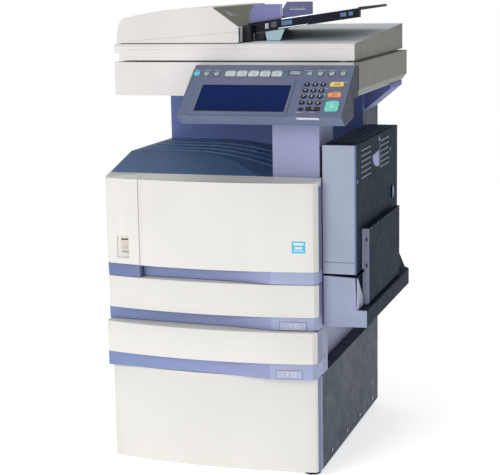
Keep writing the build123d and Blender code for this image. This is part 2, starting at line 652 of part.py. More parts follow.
def drum():
    """Photoconductor drum on its shaft."""
    shaft = rod_y(*DRUM_CENTRE, SHAFT_RADIUS, BEARING_PLATE_Y[0] - 4, BEARING_PLATE_Y[1] + 8)
    return rod_y(*DRUM_CENTRE, DRUM_RADIUS, *DRUM_Y) + shaft


# ---------------------------------------------------------------- scanner
def scanner_housing():
    """Hollow scanner body with the glass seat, two carriage rails and the feeder's hinge ears."""
    bevel_x, bevel_z = SCANNER_BEVEL
    low, high, right = SCANNER_BOTTOM, SCANNER_TOP, SCANNER_RIGHT
    outline = [(0, low), (right - bevel_x, low), (right, low + bevel_z), (right, high), (0, high)]
    housing = prism_y(outline, SCANNER_FRONT, DEPTH)
    inner = [(WALL, low + WALL), (right - bevel_x - WALL, low + WALL), (right - WALL, low + bevel_z + WALL),
             (right - WALL, high - GLASS_SHELF), (WALL, high - GLASS_SHELF)]
    housing -= prism_y(inner, SCANNER_FRONT + WALL, DEPTH - WALL)
    (gx0, gx1), (gy0, gy1), ledge = GLASS_X, GLASS_Y, GLASS_LEDGE
    housing -= block(gx0, gx1, gy0, gy1, high - GLASS, high + 1)
    housing -= block(gx0 + ledge, gx1 - ledge, gy0 + ledge, gy1 - ledge, high - GLASS_SHELF - 1, high)
    for y in RAIL_YS:
        housing += rod_x(y, RAIL_Z, RAIL_RADIUS, WALL / 2, right - WALL / 2)
    for x in HINGE_XS:
        for ear_x in (x - HINGE_EAR - HINGE_PLAY, x + HINGE_LUG + HINGE_PLAY):
            foot_z = HINGE_Z - HINGE_EAR_DROP
            housing += block(ear_x, ear_x + HINGE_EAR, DEPTH, HINGE_Y, foot_z, HINGE_Z + HINGE_RADIUS)
            housing += rod_x(HINGE_Y, HINGE_Z, HINGE_RADIUS, ear_x, ear_x + HINGE_EAR)
        housing += rod_x(HINGE_Y, HINGE_Z, HINGE_PIN_RADIUS, x - 1, x + HINGE_LUG + 1)
    return housing


def platen_glass():
    """Exposure glass, seated flush in the scanner's top."""
    return block(*GLASS_X, *GLASS_Y, SCANNER_TOP - GLASS, SCANNER_TOP)


def scan_carriage():
    """Lamp and mirror carriage on its two rails."""
    carriage = block(*CARRIAGE_X, *CARRIAGE_Y, *CARRIAGE_Z)
    slot_x, top = sum(CARRIAGE_X) / 2, CARRIAGE_Z[1]
    carriage -= block(slot_x - 8, slot_x + 8, CARRIAGE_Y[0] + 10, CARRIAGE_Y[1] - 10, top - 12, top + 1)
    for y in RAIL_YS:
        carriage -= rod_x(y, RAIL_Z, RAIL_RADIUS + RUNNING, CARRIAGE_X[0] - 1, CARRIAGE_X[1] + 1)
    return carriage


# ---------------------------------------------------------------- document feeder
def adf_base():
    """Feeder base: the lid over the glass, its sloping output surface and the originals tray's pivots."""
    bottom = SCANNER_TOP + ADF_GAP
    split = COVER_RIGHT + 4
    front, top, lip, groove = ADF_FRONT, ADF_TOP, ADF_LIP, ADF_GROOVE
    groove_low, groove_high = ADF_GROOVE_Z - groove, ADF_GROOVE_Z + groove
    outline = [(front, bottom), (front, groove_low), (front + groove, ADF_GROOVE_Z), (front, groove_high),
               (front, top - lip), (front + lip, top), (ADF_REAR, top), (ADF_REAR, bottom)]
    base = prism_x(outline, 0, ADF_RIGHT)
    wedge = [(front + 8, top), (ADF_REAR, ADF_BACK_TOP), (ADF_REAR, top)]
    base += prism_x(wedge, split, ADF_RIGHT)
    base += block(0, split, COVER_Y[1] + COVER_GAP, ADF_REAR, ADF_TOP, ADF_BACK_TOP)
    base -= block(-1, ADF_BAND, ADF_FRONT - 1, ADF_REAR + 1, bottom - 1, ADF_BAND_TOP)
    inner_x, inner_y = (ADF_BAND + WALL, ADF_RIGHT - WALL), (front + WALL, ADF_REAR - WALL)
    base -= block(*inner_x, *inner_y, bottom + WALL, top - WALL)
    left_x, inset, front_inset = ADF_THROAT
    throat_x, throat_y = (left_x, COVER_RIGHT - inset), (COVER_Y[0] + front_inset, COVER_Y[1] - inset)
    base -= block(*throat_x, *throat_y, top - WALL - 1, top + 1)
    half, over = FEED_PLATE
    for y in FEED_PLATE_YS:
        x, z = FEED_ROLLER
        plate = block(x - half, x + half, y, y + SHEET, bottom + 1, z + over)
        base += plate - rod_y(x, z, SHAFT_RADIUS + RUNNING, y - 1, y + SHEET + 1)
    left_inset, front_inset, far_inset, width = ADF_PADS
    for pad_x in (left_inset, ADF_RIGHT - far_inset):
        for pad_y in (front + front_inset, ADF_REAR - far_inset):
            pad_bottom = SCANNER_TOP + PAD_CLEARANCE
            base += block(pad_x, pad_x + width, pad_y, pad_y + width, pad_bottom, bottom)
    for y in (DOC_Y[0] - 1 - DOC_EAR, DOC_Y[1] + 1):
        x, z = DOC_PIVOT
        base += block(x - DOC_EAR, x + DOC_EAR, y, y + DOC_EAR, top - 1, z)
        base += rod_y(x, z, DOC_EAR, y, y + DOC_EAR)
    for y0, y1 in ((DOC_Y[0] - 2, DOC_Y[0] + DOC_PIN), (DOC_Y[1] - DOC_PIN, DOC_Y[1] + 2)):
        base += rod_y(*DOC_PIVOT, DOC_PIVOT_RADIUS, y0, y1)
    for x in HINGE_XS:
        lug = block(x, x + HINGE_LUG, ADF_REAR, HINGE_Y, HINGE_Z - 2, HINGE_Z + HINGE_RADIUS)
        lug += rod_x(HINGE_Y, HINGE_Z, HINGE_RADIUS, x, x + HINGE_LUG)
        base += lug - rod_x(HINGE_Y, HINGE_Z, HINGE_PIN_RADIUS + RUNNING, x - 1, x + HINGE_LUG + 1)
    return base


def cover_profile(inset):
    """Section of the feeder's lid: upright left side, domed top, slope to the right."""
    bottom = ADF_TOP + COVER_GAP
    left, right = 2 + inset, COVER_RIGHT - inset
    crest_x, crest_z = COVER_RIDGE
    rise = (crest_z - COVER_LEFT_TOP) * 0.75
    knee = (left + 12, COVER_LEFT_TOP - inset)
    crest = (crest_x, crest_z - inset)
    shoulder = (right, COVER_SHOULDER_Z - inset)
    bulge = ((knee[0] + crest_x) / 2, COVER_LEFT_TOP + rise - inset)
    edges = [
        Line((left, 0, bottom), (left, 0, knee[1] - 30)),
        ThreePointArc((left, 0, knee[1] - 30), (left + 4, 0, knee[1] - 9), (knee[0], 0, knee[1])),
        ThreePointArc((knee[0], 0, knee[1]), (bulge[0], 0, bulge[1]), (crest[0], 0, crest[1])),
        Line((crest[0], 0, crest[1]), (shoulder[0], 0, shoulder[1])),
        Line((shoulder[0], 0, shoulder[1]), (right, 0, bottom)),
        Line((right, 0, bottom), (left, 0, bottom)),
    ]
    return make_face(edges)


def cover_side_mask(inset):
    """Front-to-back limits of the lid: its front leans back, its rear is upright."""
    bottom, top = ADF_TOP - 5, COVER_RIDGE[1] + 10
    lean = COVER_LEAN / (COVER_RIDGE[1] - ADF_TOP - COVER_GAP)
    front_low = COVER_Y[0] + inset - lean * (ADF_TOP + COVER_GAP - bottom)
    front_high = COVER_Y[0] + inset + lean * (top - ADF_TOP - COVER_GAP)
    back = COVER_Y[1] - inset
    outline = [(front_low, bottom), (front_high, top), (back, top), (back, bottom)]
    return prism_x(outline, -1, COVER_RIGHT + 1)


def adf_cover():
    """Feeder lid: a domed shell hinged on its left edge, open underneath."""
    outer = extrude(cover_profile(0), amount=ADF_REAR, dir=(0, 1, 0)) & cover_side_mask(0)
    inner = extrude(cover_profile(WALL), amount=ADF_REAR, dir=(0, 1, 0)) & cover_side_mask(WALL)
    lid = outer - inner
    return lid


def adf_feed_roller():
    """Rubber feed roller on its shaft, under the feeder lid."""
    x, z = FEED_ROLLER
    shaft = rod_y(x, z, SHAFT_RADIUS, FEED_PLATE_YS[0] - 2, FEED_PLATE_YS[1] + SHEET + 2)
    return rod_y(x, z, FEED_ROLLER_RADIUS, *FEED_ROLLER_Y) + shaft


def doc_height(x):
    """Underside height of the document tray at x."""
    return DOC_Z + DOC_SLOPE * (x - DOC_X[0])


def sloping_bar(x0, x1, low, high, y0, y1):
    """Bar that follows the document tray's slope, low to high above its underside."""
    corners = [(x0, low), (x1, low), (x1, high), (x0, high)]
    return prism_y([(x, doc_height(x) + rise) for x, rise in corners], y0, y1)


def document_tray():
    """Sloping tray for the originals: a thin plate on a deep front rail and a rail at its pivots."""
    (x0, x1), (y0, y1) = DOC_X, DOC_Y
    tray = sloping_bar(x0, x1, DOC_HEIGHT - DOC_PLATE, DOC_HEIGHT, y0, y1)
    tray += sloping_bar(x0, x1, 0, DOC_HEIGHT, y0, y0 + DOC_RAIL)
    tray += sloping_bar(x0, x0 + DOC_END_RAIL, 0, DOC_HEIGHT, y0, y1)
    for hole_y in ((y0 - 1, y0 + DOC_PIN + 1), (y1 - DOC_PIN - 1, y1 + 1)):
        tray -= rod_y(*DOC_PIVOT, DOC_PIVOT_RADIUS + RUNNING, *hole_y)
    return tray


def document_guide(y, inward):
    """Width guide: a foot on the tray and an upright fence with a chamfered end; y is its outer face."""
    x0, x1 = GUIDE_X
    base = DOC_HEIGHT + GUIDE_CLEARANCE
    low_left, low_right = doc_height(x0) + base, doc_height(x1) + base
    outline = [(x0, low_left), (x1, low_right), (x1, GUIDE_TOP), (x0 + 12, GUIDE_TOP), (x0, GUIDE_TOP - 18)]
    fence = prism_y(outline, *sorted((y, y + inward * GUIDE_FENCE)))
    foot = sloping_bar(x0, x1, base, base + GUIDE_FENCE, *sorted((y, y + inward * GUIDE_FOOT)))
    return fence + foot


# ---------------------------------------------------------------- side paper unit
def latch_opening(x0, x1):
    """Half-round finger opening of the side unit's latch."""
    (low, high), flat, tip = LATCH_Z, LATCH_FLAT_Y, LATCH_FLAT_Y - LATCH_LENGTH
    middle = (low + high) / 2
    shoulder = flat - LATCH_LENGTH * 0.7
    end = (x0, tip, middle + 6)
    curve = Bezier((x0, flat, low), (x0, shoulder, low), (x0, tip, middle - 12), end)
    opening = closed_plan([end, (x0, flat, high), (x0, flat, low)], [curve])
    return extrude(opening, amount=x1 - x0, dir=(1, 0, 0))


def side_unit_cover():
    """Two-sided printing unit: a hollow cover with air slots, latch opening and grip knob."""
    (x0, x1), (z0, z1) = SIDE_X, SIDE_Z
    cover = block(x0, x1, 0, SIDE_Y, z0, z1)
    cover -= block(x0 - 1, x1 - WALL, WALL, SIDE_Y - WALL, z0 + WALL, z1 - WALL)
    for y0, y1 in SLOT_GROUPS:
        for step in range(SLOT_COUNT):
            z = SLOT_TOP_Z - step * SLOT_PITCH
            cover -= block(x1 - WALL - 1, x1 + 1, y0, y1, z - SLOT_HEIGHT / 2, z + SLOT_HEIGHT / 2)
    cover -= latch_opening(x1 - WALL - 1, x1 + 1)
    knob = rod_x(KNOB_Y, KNOB_Z, KNOB_RADIUS, x1, x1 + 4)
    cover += knob - block(x1 - 1, x1 + 5, KNOB_Y - 2 * KNOB_RADIUS, KNOB_Y, KNOB_Z - 30, KNOB_Z + 30)
    for x in SIDE_TOP_RIBS:
        cover += block(x - 1.5, x + 1.5, 60, 420, z1, z1 + 2)
    cover += block(x0 + WALL, x0 + 12, 100, 360, BLOCK_TOP - 18, z0 + 1)
    return cover


def side_unit_latch():
    """Paddle behind the half-round opening that lets the side unit swing out."""
    x1 = SIDE_X[1] - WALL - LATCH_BACKSET
    low, high = LATCH_Z
    paddle = block(x1 - 4, x1, LATCH_FLAT_Y - LATCH_LENGTH - 6, LATCH_FLAT_Y + 6, low - 6, high - 4)
    return paddle + rod_y(x1 - 2, high - 4, 3, LATCH_FLAT_Y - LATCH_LENGTH - 12, LATCH_FLAT_Y + 12)


def lower_side_block():
    """Lower cover of the side unit, stepped out at the bottom under the bypass tray."""
    x0, x1 = SIDE_X
    low, step, top, right = BLOCK_BOTTOM, BLOCK_STEP_Z, BLOCK_TOP, BLOCK_RIGHT
    outline = [(x0, low), (right, low + 3), (right, step), (x1 + 1, step), (x1 - 2, top - 3), (x0, top)]
    inner_right = right - WALL
    room = [(x0 - 1, low + WALL), (inner_right, low + 3 + WALL), (inner_right, step - WALL),
            (x1 + 1 - WALL, step - WALL), (x1 - 2 - WALL, top - 4 - WALL), (x0 - 1, top - WALL)]
    cover = prism_y(outline, 0, SIDE_Y) - prism_y(room, WALL, SIDE_Y - WALL)
    return cover - block(x0 - 1, x0 + 13, 98, 362, BLOCK_TOP - WALL - 2, BLOCK_TOP + 1)


def bypass_tray():
    """Hand-feed tray, folded up: a shallow tray that turns on the barrel at its foot."""
    x0, x1 = BYPASS_X
    y0, y1 = BYPASS_Y
    radius = (x1 - x0) / 2
    axis_x = (x0 + x1) / 2
    tray = block(x0, x1, y0, y1, BYPASS_AXIS_Z, BYPASS_TOP)
    tray -= block(x0 - 1, x1 - WALL, y0 + WALL, y1 - WALL, BYPASS_AXIS_Z + 3 * radius, BYPASS_TOP - WALL)
    return tray + rod_y(axis_x, BYPASS_AXIS_Z, radius, y0, y1)


# ---------------------------------------------------------------- control panel
def key_shape(kind, width, height):
    """Outline of a key: round-cornered, oval or round."""
    if kind == "round":
        return Circle(width / 2)
    if kind == "oval":
        return Ellipse(width / 2, height / 2)
    corner = min(width, height) * (0.45 if kind == "pill" else 0.2)
    return RectangleRounded(width, height, corner)


# name: outline, x on the panel, height up the face, width, height
KEYS = {
    "clear_key": ("pill", 535.7, 27.0, 33.0, 11.0),
    "function_clear_key": ("bar", 576.0, 106.8, 31.5, 12.0),
    "stop_key": ("pill", 577.0, 72.5, 31.5, 14.0),
    "start_key": ("bar", 578.0, 35.0, 31.0, 32.0),
    "power_save_key": ("round", 226.6 + 4.0, TOP_ROW, 15.0, 15.0),
}
for number, name in enumerate(PAD_NAMES):
    row, column = divmod(number, len(PAD_COLUMNS))
    KEYS["key_" + name] = ("oval", PAD_COLUMNS[column], PAD_ROWS[row], *PAD_KEY)
for number in range(5):
    KEYS["mode_key_%d" % (number + 1)] = ("bar", MODE_FIRST_X + number * MODE_PITCH, TOP_ROW, *MODE_KEY)


def panel_key(kind, x, up, width, height):
    """A key: cap through the panel, with a flange behind it that keeps it in."""
    cap = extrude(key_shape(kind, width, height), amount=WALL + KEY_PROUD)
    flange = extrude(key_shape(kind, width + 2, height + 2), amount=KEY_FLANGE)
    key = Pos(0, 0, -WALL) * cap + Pos(0, 0, -WALL - KEY_FLANGE - RUNNING) * flange
    key += Pos(0, 0, -WALL - RUNNING) * extrude(key_shape(kind, width, height), amount=RUNNING * 2)
    return on_panel(Pos(x, up, 0) * key)


def control_panel_housing():
    """Tilted console with a raised screen surround and a hole for each key."""
    outline = [PANEL_LOW, PANEL_HIGH, (SCANNER_FRONT, PANEL_HIGH[1]), (SCANNER_FRONT, PANEL_BACK_Z),
               (PANEL_BACK_Y, PANEL_BACK_Z), (PANEL_BACK_Y, PANEL_UNDER_Z), PANEL_LIP]
    x0, x1 = PANEL_X
    solid = prism_x(outline, x0, x1)
    section = make_face(Polyline(*[(x0 + WALL, y, z) for y, z in outline], close=True))
    room = extrude(offset(section, -WALL, kind=Kind.INTERSECTION), amount=x1 - x0 - 2 * WALL, dir=(1, 0, 0))
    housing = solid - room
    bx0, bx1, b0, b1 = BEZEL
    housing += on_panel(block(bx0, bx1, b0, b1, -1, BEZEL_HEIGHT))
    lx0, lx1, l0, l1 = LCD
    housing -= on_panel(block(lx0, lx1, l0, l1, -WALL - 1, BEZEL_HEIGHT + 1))
    for kind, x, up, width, height in KEYS.values():
        room = key_shape(kind, width + 2 * KEY_CLEARANCE, height + 2 * KEY_CLEARANCE)
        housing -= on_panel(Pos(x, up, -1.5 * WALL) * extrude(room, amount=2 * WALL))
    end = PANEL_LENGTH + 1
    cut = [(x0 - 1, end), (x0 + PANEL_CHAMFER, end), (x0 - 1, PANEL_LENGTH - PANEL_CHAMFER)]
    return housing - on_panel(prism_z(cut, -WALL * 0.9, 10))


def lcd_screen():
    """Touch screen, seated in the console's surround."""
    x0, x1, low, high = LCD
    return on_panel(block(x0, x1, low, high, -WALL, BEZEL_HEIGHT / 2))


# ---------------------------------------------------------------- fasteners
def cover_screws():
    """Screw heads on the right side of the stand, the flange and the stand's back."""
    heads = [rod_x(y, z, SCREW_RADIUS, WIDTH, WIDTH + SCREW_HEAD) for y, z in SIDE_SCREWS]
    heads += [rod_y(x, z, SCREW_RADIUS, DEPTH, DEPTH + SCREW_HEAD) for x, z in REAR_SCREWS]
    return Compound(children=heads)


# ---------------------------------------------------------------- assembly
def build():
    """Every sub-part by name, in model coordinates."""
    nodes = {
        "stand_cabinet": stand_cabinet(),
        "stand_front_panel": stand_front_panel(),
        "stand_feet": stand_feet(),
        "body_frame": body_frame(),
        "left_cover": left_cover(),
        "rear_cover": rear_cover(),
        "right_lower_cover": right_lower_cover(),
        "rear_column_cover": rear_column_cover(),
        "front_column_cover": front_column_cover(),
        "exit_tray": exit_tray(),
        "front_left_panel": front_left_panel(),
        "power_switch": power_switch(),
        "front_cover": front_cover(),
        "front_cover_grip": front_cover_grip(),
        "toner_cartridge": toner_cartridge(),
        "drum": drum(),
        "scanner_housing": scanner_housing(),
        "platen_glass": platen_glass(),
        "scan_carriage": scan_carriage(),
        "adf_base": adf_base(),
        "adf_cover": adf_cover(),
        "adf_feed_roller": adf_feed_roller(),
        "document_tray": document_tray(),
        "document_guide_front": document_guide(GUIDE_YS[0], 1),
        "document_guide_rear": document_guide(GUIDE_YS[1], -1),
        "side_unit_cover": side_unit_cover(),
        "side_unit_latch": side_unit_latch(),
        "lower_side_block": lower_side_block(),
        "bypass_tray": bypass_tray(),
        "control_panel_housing": control_panel_housing(),
        "lcd_screen": lcd_screen(),
        "cover_screws": cover_screws(),
    }
    for name, (depth, bottom, grip_top, top) in CASSETTES.items():
        nodes[name + "_grip"] = grip_shell(0, WIDTH, -depth, 0, bottom, grip_top)
        nodes[name + "_front"] = front_shell(0, WIDTH, -depth, 0, grip_top, top)
        nodes[name + "_tray"] = cassette_tray(bottom)
    for name, key in KEYS.items():
        nodes[name] = panel_key(*key)
    return nodes


def place(shape):
    """Moves a finished sub-part so that the origin is the middle of the machine's bottom."""
    return Pos(-X_MID, -Y_MID, 0) * shape


def main():
    os.makedirs("parts", exist_ok=True)
    for name, shape in build().items():
        export_step(place(shape), os.path.join("parts", name + ".step"))


main()
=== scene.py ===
"""Looks of the office photocopier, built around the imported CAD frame.

Every length written as a plain number is in millimetres in the body's own coordinates: x from the left
cover, y from the front edge of the side covers to the back, z from the floor. at() turns them into the
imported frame's metres, and ORIGIN, read from the frame, ties the two together.
"""
import json
import math

import bmesh
import bpy
from mathutils import Matrix, Vector

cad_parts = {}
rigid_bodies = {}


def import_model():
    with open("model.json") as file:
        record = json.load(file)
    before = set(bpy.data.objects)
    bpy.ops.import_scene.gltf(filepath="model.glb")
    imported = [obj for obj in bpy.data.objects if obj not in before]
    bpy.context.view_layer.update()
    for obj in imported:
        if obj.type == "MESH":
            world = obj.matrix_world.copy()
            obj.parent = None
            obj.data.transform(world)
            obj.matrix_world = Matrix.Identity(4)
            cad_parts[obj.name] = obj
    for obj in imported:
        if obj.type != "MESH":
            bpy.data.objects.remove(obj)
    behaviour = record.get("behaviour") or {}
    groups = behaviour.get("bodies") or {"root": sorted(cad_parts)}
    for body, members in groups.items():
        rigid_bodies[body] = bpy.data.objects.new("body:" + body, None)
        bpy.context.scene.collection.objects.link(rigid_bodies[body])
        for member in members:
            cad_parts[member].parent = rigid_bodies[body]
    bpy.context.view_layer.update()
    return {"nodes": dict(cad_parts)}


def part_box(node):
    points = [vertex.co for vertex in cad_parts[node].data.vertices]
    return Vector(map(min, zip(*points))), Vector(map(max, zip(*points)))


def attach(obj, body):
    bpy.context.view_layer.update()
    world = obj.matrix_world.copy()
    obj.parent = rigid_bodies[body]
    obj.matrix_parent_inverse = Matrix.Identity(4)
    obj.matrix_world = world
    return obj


for left_over in list(bpy.data.objects):
    bpy.data.objects.remove(left_over)

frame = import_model()
NODES = frame["nodes"]
MM = 0.001
STAND_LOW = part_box("stand_cabinet")[0]
ORIGIN = Vector((STAND_LOW.x, STAND_LOW.y, 0.0))


def at(x, y, z):
    """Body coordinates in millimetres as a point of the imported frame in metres."""
    return ORIGIN + Vector((x, y, z)) * MM


# ---------------------------------------------------------------- camera and light
CAMERA_AT = (1355.2, -3078.3, 1183.0)
CAMERA_TURN = math.radians(18.01)
CAMERA_DOWN = math.radians(10.65)
CAMERA_ROLL = math.radians(-1.01)
CAMERA_LENS = 100.0
SENSOR_WIDTH = 36.0
FAR_CLIP = 50.0
WORLD_LIGHT = 0.42           # the world's light on the object; the camera itself sees it white
LIGHT_TARGET = (0.0, 0.0, 0.6)
# name, place in metres, width and height in metres, watts, colour
AREA_LIGHTS = (
    ("key_light", (-1.3, -3.6, 2.0), (1.6, 1.6), 56.0, (1.0, 0.99, 0.97)),
    ("fill_light", (2.6, -2.0, 1.8), (2.0, 2.0), 5.0, (0.92, 0.96, 1.0)),
    ("top_light", (-0.3, -0.2, 3.4), (2.2, 2.2), 14.0, (1.0, 1.0, 1.0)))
FLOOR_SIZE, FLOOR_CUTS = 16.0, 8


def make_camera():
    """The camera of the front three-quarter view."""
    data = bpy.data.cameras.new("camera")
    data.lens = CAMERA_LENS
    data.sensor_width = SENSOR_WIDTH
    data.clip_end = FAR_CLIP
    camera = bpy.data.objects.new("camera", data)
    bpy.context.scene.collection.objects.link(camera)
    upright = Matrix.Rotation(CAMERA_TURN, 4, "Z") @ Matrix.Rotation(math.radians(90) - CAMERA_DOWN, 4, "X")
    roll = Matrix.Rotation(CAMERA_ROLL, 4, "Z")
    camera.matrix_world = Matrix.Translation(at(*CAMERA_AT)) @ upright @ roll
    bpy.context.scene.camera = camera


def make_area_light(name, place, size, power, colour):
    """A rectangular lamp that looks at LIGHT_TARGET."""
    data = bpy.data.lights.new(name, "AREA")
    data.shape = "RECTANGLE"
    data.size, data.size_y = size
    data.energy = power
    data.color = colour
    lamp = bpy.data.objects.new(name, data)
    bpy.context.scene.collection.objects.link(lamp)
    lamp.location = place
    lamp.rotation_mode = "QUATERNION"
    lamp.rotation_quaternion = (Vector(LIGHT_TARGET) - Vector(place)).to_track_quat("-Z", "Y")


def make_stage():
    """World, lamps and floor."""
    world = bpy.data.worlds.new("studio")
    world.use_nodes = True
    background = world.node_tree.nodes["Background"]
    background.inputs["Color"].default_value = (1.0, 1.0, 1.0, 1.0)
    seen = world.node_tree.nodes.new("ShaderNodeLightPath").outputs["Is Camera Ray"]
    strength = world.node_tree.nodes.new("ShaderNodeMapRange")
    strength.inputs["To Min"].default_value = WORLD_LIGHT
    strength.inputs["To Max"].default_value = 1.0
    world.node_tree.links.new(seen, strength.inputs["Value"])
    world.node_tree.links.new(strength.outputs["Result"], background.inputs["Strength"])
    bpy.context.scene.world = world
    bpy.context.scene.view_settings.view_transform = "Standard"
    for light in AREA_LIGHTS:
        make_area_light(*light)
    bpy.ops.mesh.primitive_grid_add(size=FLOOR_SIZE, x_subdivisions=FLOOR_CUTS, y_subdivisions=FLOOR_CUTS)
    floor = bpy.context.object
    floor.name = "floor"
    floor.data.materials.append(material_floor())


# ---------------------------------------------------------------- materials
def linear(colour):
    """An 8-bit display colour as linear values for a shader."""
    out = []
    for channel in colour:
        c = channel / 255.0
        out.append(c / 12.92 if c <= 0.04045 else ((c + 0.055) / 1.055) ** 2.4)
    return (*out, 1.0)


def scaled(colour, factor):
    """A lighter or darker version of an 8-bit colour."""
    return tuple(min(255.0, c * factor) for c in colour)


NOISE_LOW, NOISE_HIGH = 0.3, 0.7     # what a noise texture mostly stays between
GRAIN_SCALE = 1500.0                 # spark grain of mouldings, per metre
RUBBED = 1.35                        # how much lighter a rubbed edge is
SOCKETS = {"specular": "Specular IOR Level", "metallic": "Metallic", "coat": "Coat Weight",
           "coat_roughness": "Coat Roughness", "transmission": "Transmission Weight", "ior": "IOR",
           "emission": "Emission Strength"}


class Shader:
    """A node tree under construction, with short helpers for the nodes that every finish uses."""

    def __init__(self, name, **constants):
        """constants are numbers set on the shader's own sockets, by SOCKETS' short names."""
        self.material = bpy.data.materials.new(name)
        self.material.use_nodes = True
        self.nodes = self.material.node_tree.nodes
        self.links = self.material.node_tree.links
        self.bsdf = self.nodes["Principled BSDF"]
        self.coords = self.nodes.new("ShaderNodeTexCoord").outputs["Object"]
        for short, number in constants.items():
            self.bsdf.inputs[SOCKETS[short]].default_value = number

    def link(self, source, target):
        self.links.new(source, target)

    def noise(self, scale, detail=2.0, rough=0.5, stretch=None):
        node = self.nodes.new("ShaderNodeTexNoise")
        node.inputs["Scale"].default_value = scale
        node.inputs["Detail"].default_value = detail
        node.inputs["Roughness"].default_value = rough
        source = self.coords
        if stretch:
            mapping = self.nodes.new("ShaderNodeMapping")
            mapping.inputs["Scale"].default_value = stretch
            self.link(self.coords, mapping.inputs["Vector"])
            source = mapping.outputs["Vector"]
        self.link(source, node.inputs["Vector"])
        return node.outputs["Fac"]

    def remap(self, value, low_in, high_in, low, high):
        node = self.nodes.new("ShaderNodeMapRange")
        ends = {"From Min": low_in, "From Max": high_in, "To Min": low, "To Max": high}
        for socket, number in ends.items():
            node.inputs[socket].default_value = number
        self.link(value, node.inputs["Value"])
        return node.outputs["Result"]

    def spread(self, low, high, *noise):
        """Noise that runs from low to high."""
        return self.remap(self.noise(*noise), NOISE_LOW, NOISE_HIGH, low, high)

    def mix(self, factor, first, second):
        """Mix of two colours; each is an 8-bit colour or a socket."""
        node = self.nodes.new("ShaderNodeMix")
        node.data_type = "RGBA"
        self.link(factor, node.inputs["Factor"])
        for socket, value in (("A", first), ("B", second)):
            place = [s for s in node.inputs if s.name == socket and s.type == "RGBA"][0]
            if isinstance(value, (tuple, list)):
                place.default_value = linear(value)
            else:
                self.link(value, place)
        return [s for s in node.outputs if s.type == "RGBA"][0]

    def math(self, operation, first, second):
        node = self.nodes.new("ShaderNodeMath")
        node.operation = operation
        for socket, value in zip(node.inputs, (first, second)):
            if isinstance(value, (int, float)):
                socket.default_value = value
            else:
                self.link(value, socket)
        return node.outputs[0]

    def axis(self, letter):
        node = self.nodes.new("ShaderNodeSeparateXYZ")
        self.link(self.coords, node.inputs[0])
        return node.outputs[letter]

    def within(self, *limits):
        """1 inside every (axis, low, high) limit given in body millimetres, 0 elsewhere."""
        mask = None
        for letter, low, high in limits:
            start = ORIGIN["XYZ".index(letter)]
            for operation, limit in (("GREATER_THAN", low), ("LESS_THAN", high)):
                if limit is None:
                    continue
                step = self.math(operation, self.axis(letter), start + limit * MM)
                mask = step if mask is None else self.math("MULTIPLY", mask, step)
        return mask

    def beyond(self, x, z, slope):
        """1 to the right of the sloping line through body (x, z), 0 elsewhere; slope is fall per run."""
        run = self.math("SUBTRACT", self.axis("X"), ORIGIN.x + x * MM)
        line = self.math("ADD", self.math("MULTIPLY", run, slope), self.axis("Z"))
        return self.math("GREATER_THAN", line, ORIGIN.z + z * MM)

    def edge(self, low=0.51, high=0.56):
        """1 on raised edges, 0 on flats."""
        geometry = self.nodes.new("ShaderNodeNewGeometry")
        return self.remap(geometry.outputs["Pointiness"], low, high, 0.0, 1.0)

    def bump(self, height, strength, distance, before=None):
        node = self.nodes.new("ShaderNodeBump")
        node.inputs["Strength"].default_value = strength
        node.inputs["Distance"].default_value = distance
        self.link(height, node.inputs["Height"])
        if before is not None:
            self.link(before, node.inputs["Normal"])
        return node.outputs["Normal"]

    def finish(self, colour, roughness, normal=None):
        self.link(colour, self.bsdf.inputs["Base Color"])
        self.link(roughness, self.bsdf.inputs["Roughness"])
        if normal is not None:
            self.link(normal, self.bsdf.inputs["Normal"])
        return self.material


def moulded(name, colour, roughness=0.5, grain=0.3, mottle=0.04, wear=0.12, patches=(), specular=0.35):
    """Moulded plastic: fine spark grain, faint uneven tone, rubbed edges. Each patch is a second colour and
    the limits, as for within(), of the part of the moulding that has it."""
    s = Shader(name, specular=specular)
    broad = s.spread(0.0, 1.0, 5.0, 3.0)
    tone = s.mix(broad, scaled(colour, 1.0 - mottle), scaled(colour, 1.0 + mottle))
    for patch_colour, limits in patches:
        patch = s.mix(broad, scaled(patch_colour, 1.0 - mottle), scaled(patch_colour, 1.0 + mottle))
        tone = s.mix(s.within(*limits), tone, patch)
    return plastic(s, tone, colour, roughness, grain, wear)


def plastic(s, tone, colour, roughness, grain, wear):
    """The grain, specks and rubbed edges that every moulding has, over its own tone."""
    speck = s.math("MULTIPLY", s.remap(s.noise(260.0, 4.0, 0.65), 0.25, 0.75, 0.0, 1.0), 0.08)
    tone = s.mix(speck, tone, scaled(colour, 0.75))
    tone = s.mix(s.math("MULTIPLY", s.edge(), wear), tone, scaled(colour, RUBBED))
    gloss = s.spread(roughness - 0.06, roughness + 0.06, 40.0, 3.0)
    normal = s.bump(s.noise(GRAIN_SCALE, 2.0, 0.7), grain, 0.00012)
    return s.finish(tone, gloss, s.bump(s.noise(9.0, 1.0), 0.02, 0.0015, normal))


def grip_with_painted_shade(name, left, right, flush, ends, wear=0.1):
    """Grip plastic with painted shade: darker at its left end, where the grip's recess lies in shade,
    lighter to the right, and lighter still where it is flush.
    """
    s = Shader(name, specular=0.3)
    start, end = (ORIGIN.x + x * MM for x in ends)
    # painted shade: darker towards the recessed left end, lightest where the grip is flush
    tone = s.mix(s.remap(s.axis("X"), start, end, 0.0, 1.0), left, right)
    tone = s.mix(s.within(("X", ends[1], None)), tone, flush)
    return plastic(s, tone, left, 0.5, 0.3, wear)


LID_RIDGE = (241.0, 1113.0)          # x and z where the feeder lid's slope starts
LID_SLOPE = 47.0 / 73.0              # its fall per run
LID_SLOPE_SPAN = ("X", 243.5, 313.4)
LID_SKIN = 2.2                       # how far below the ridge the painted shade of the slope starts
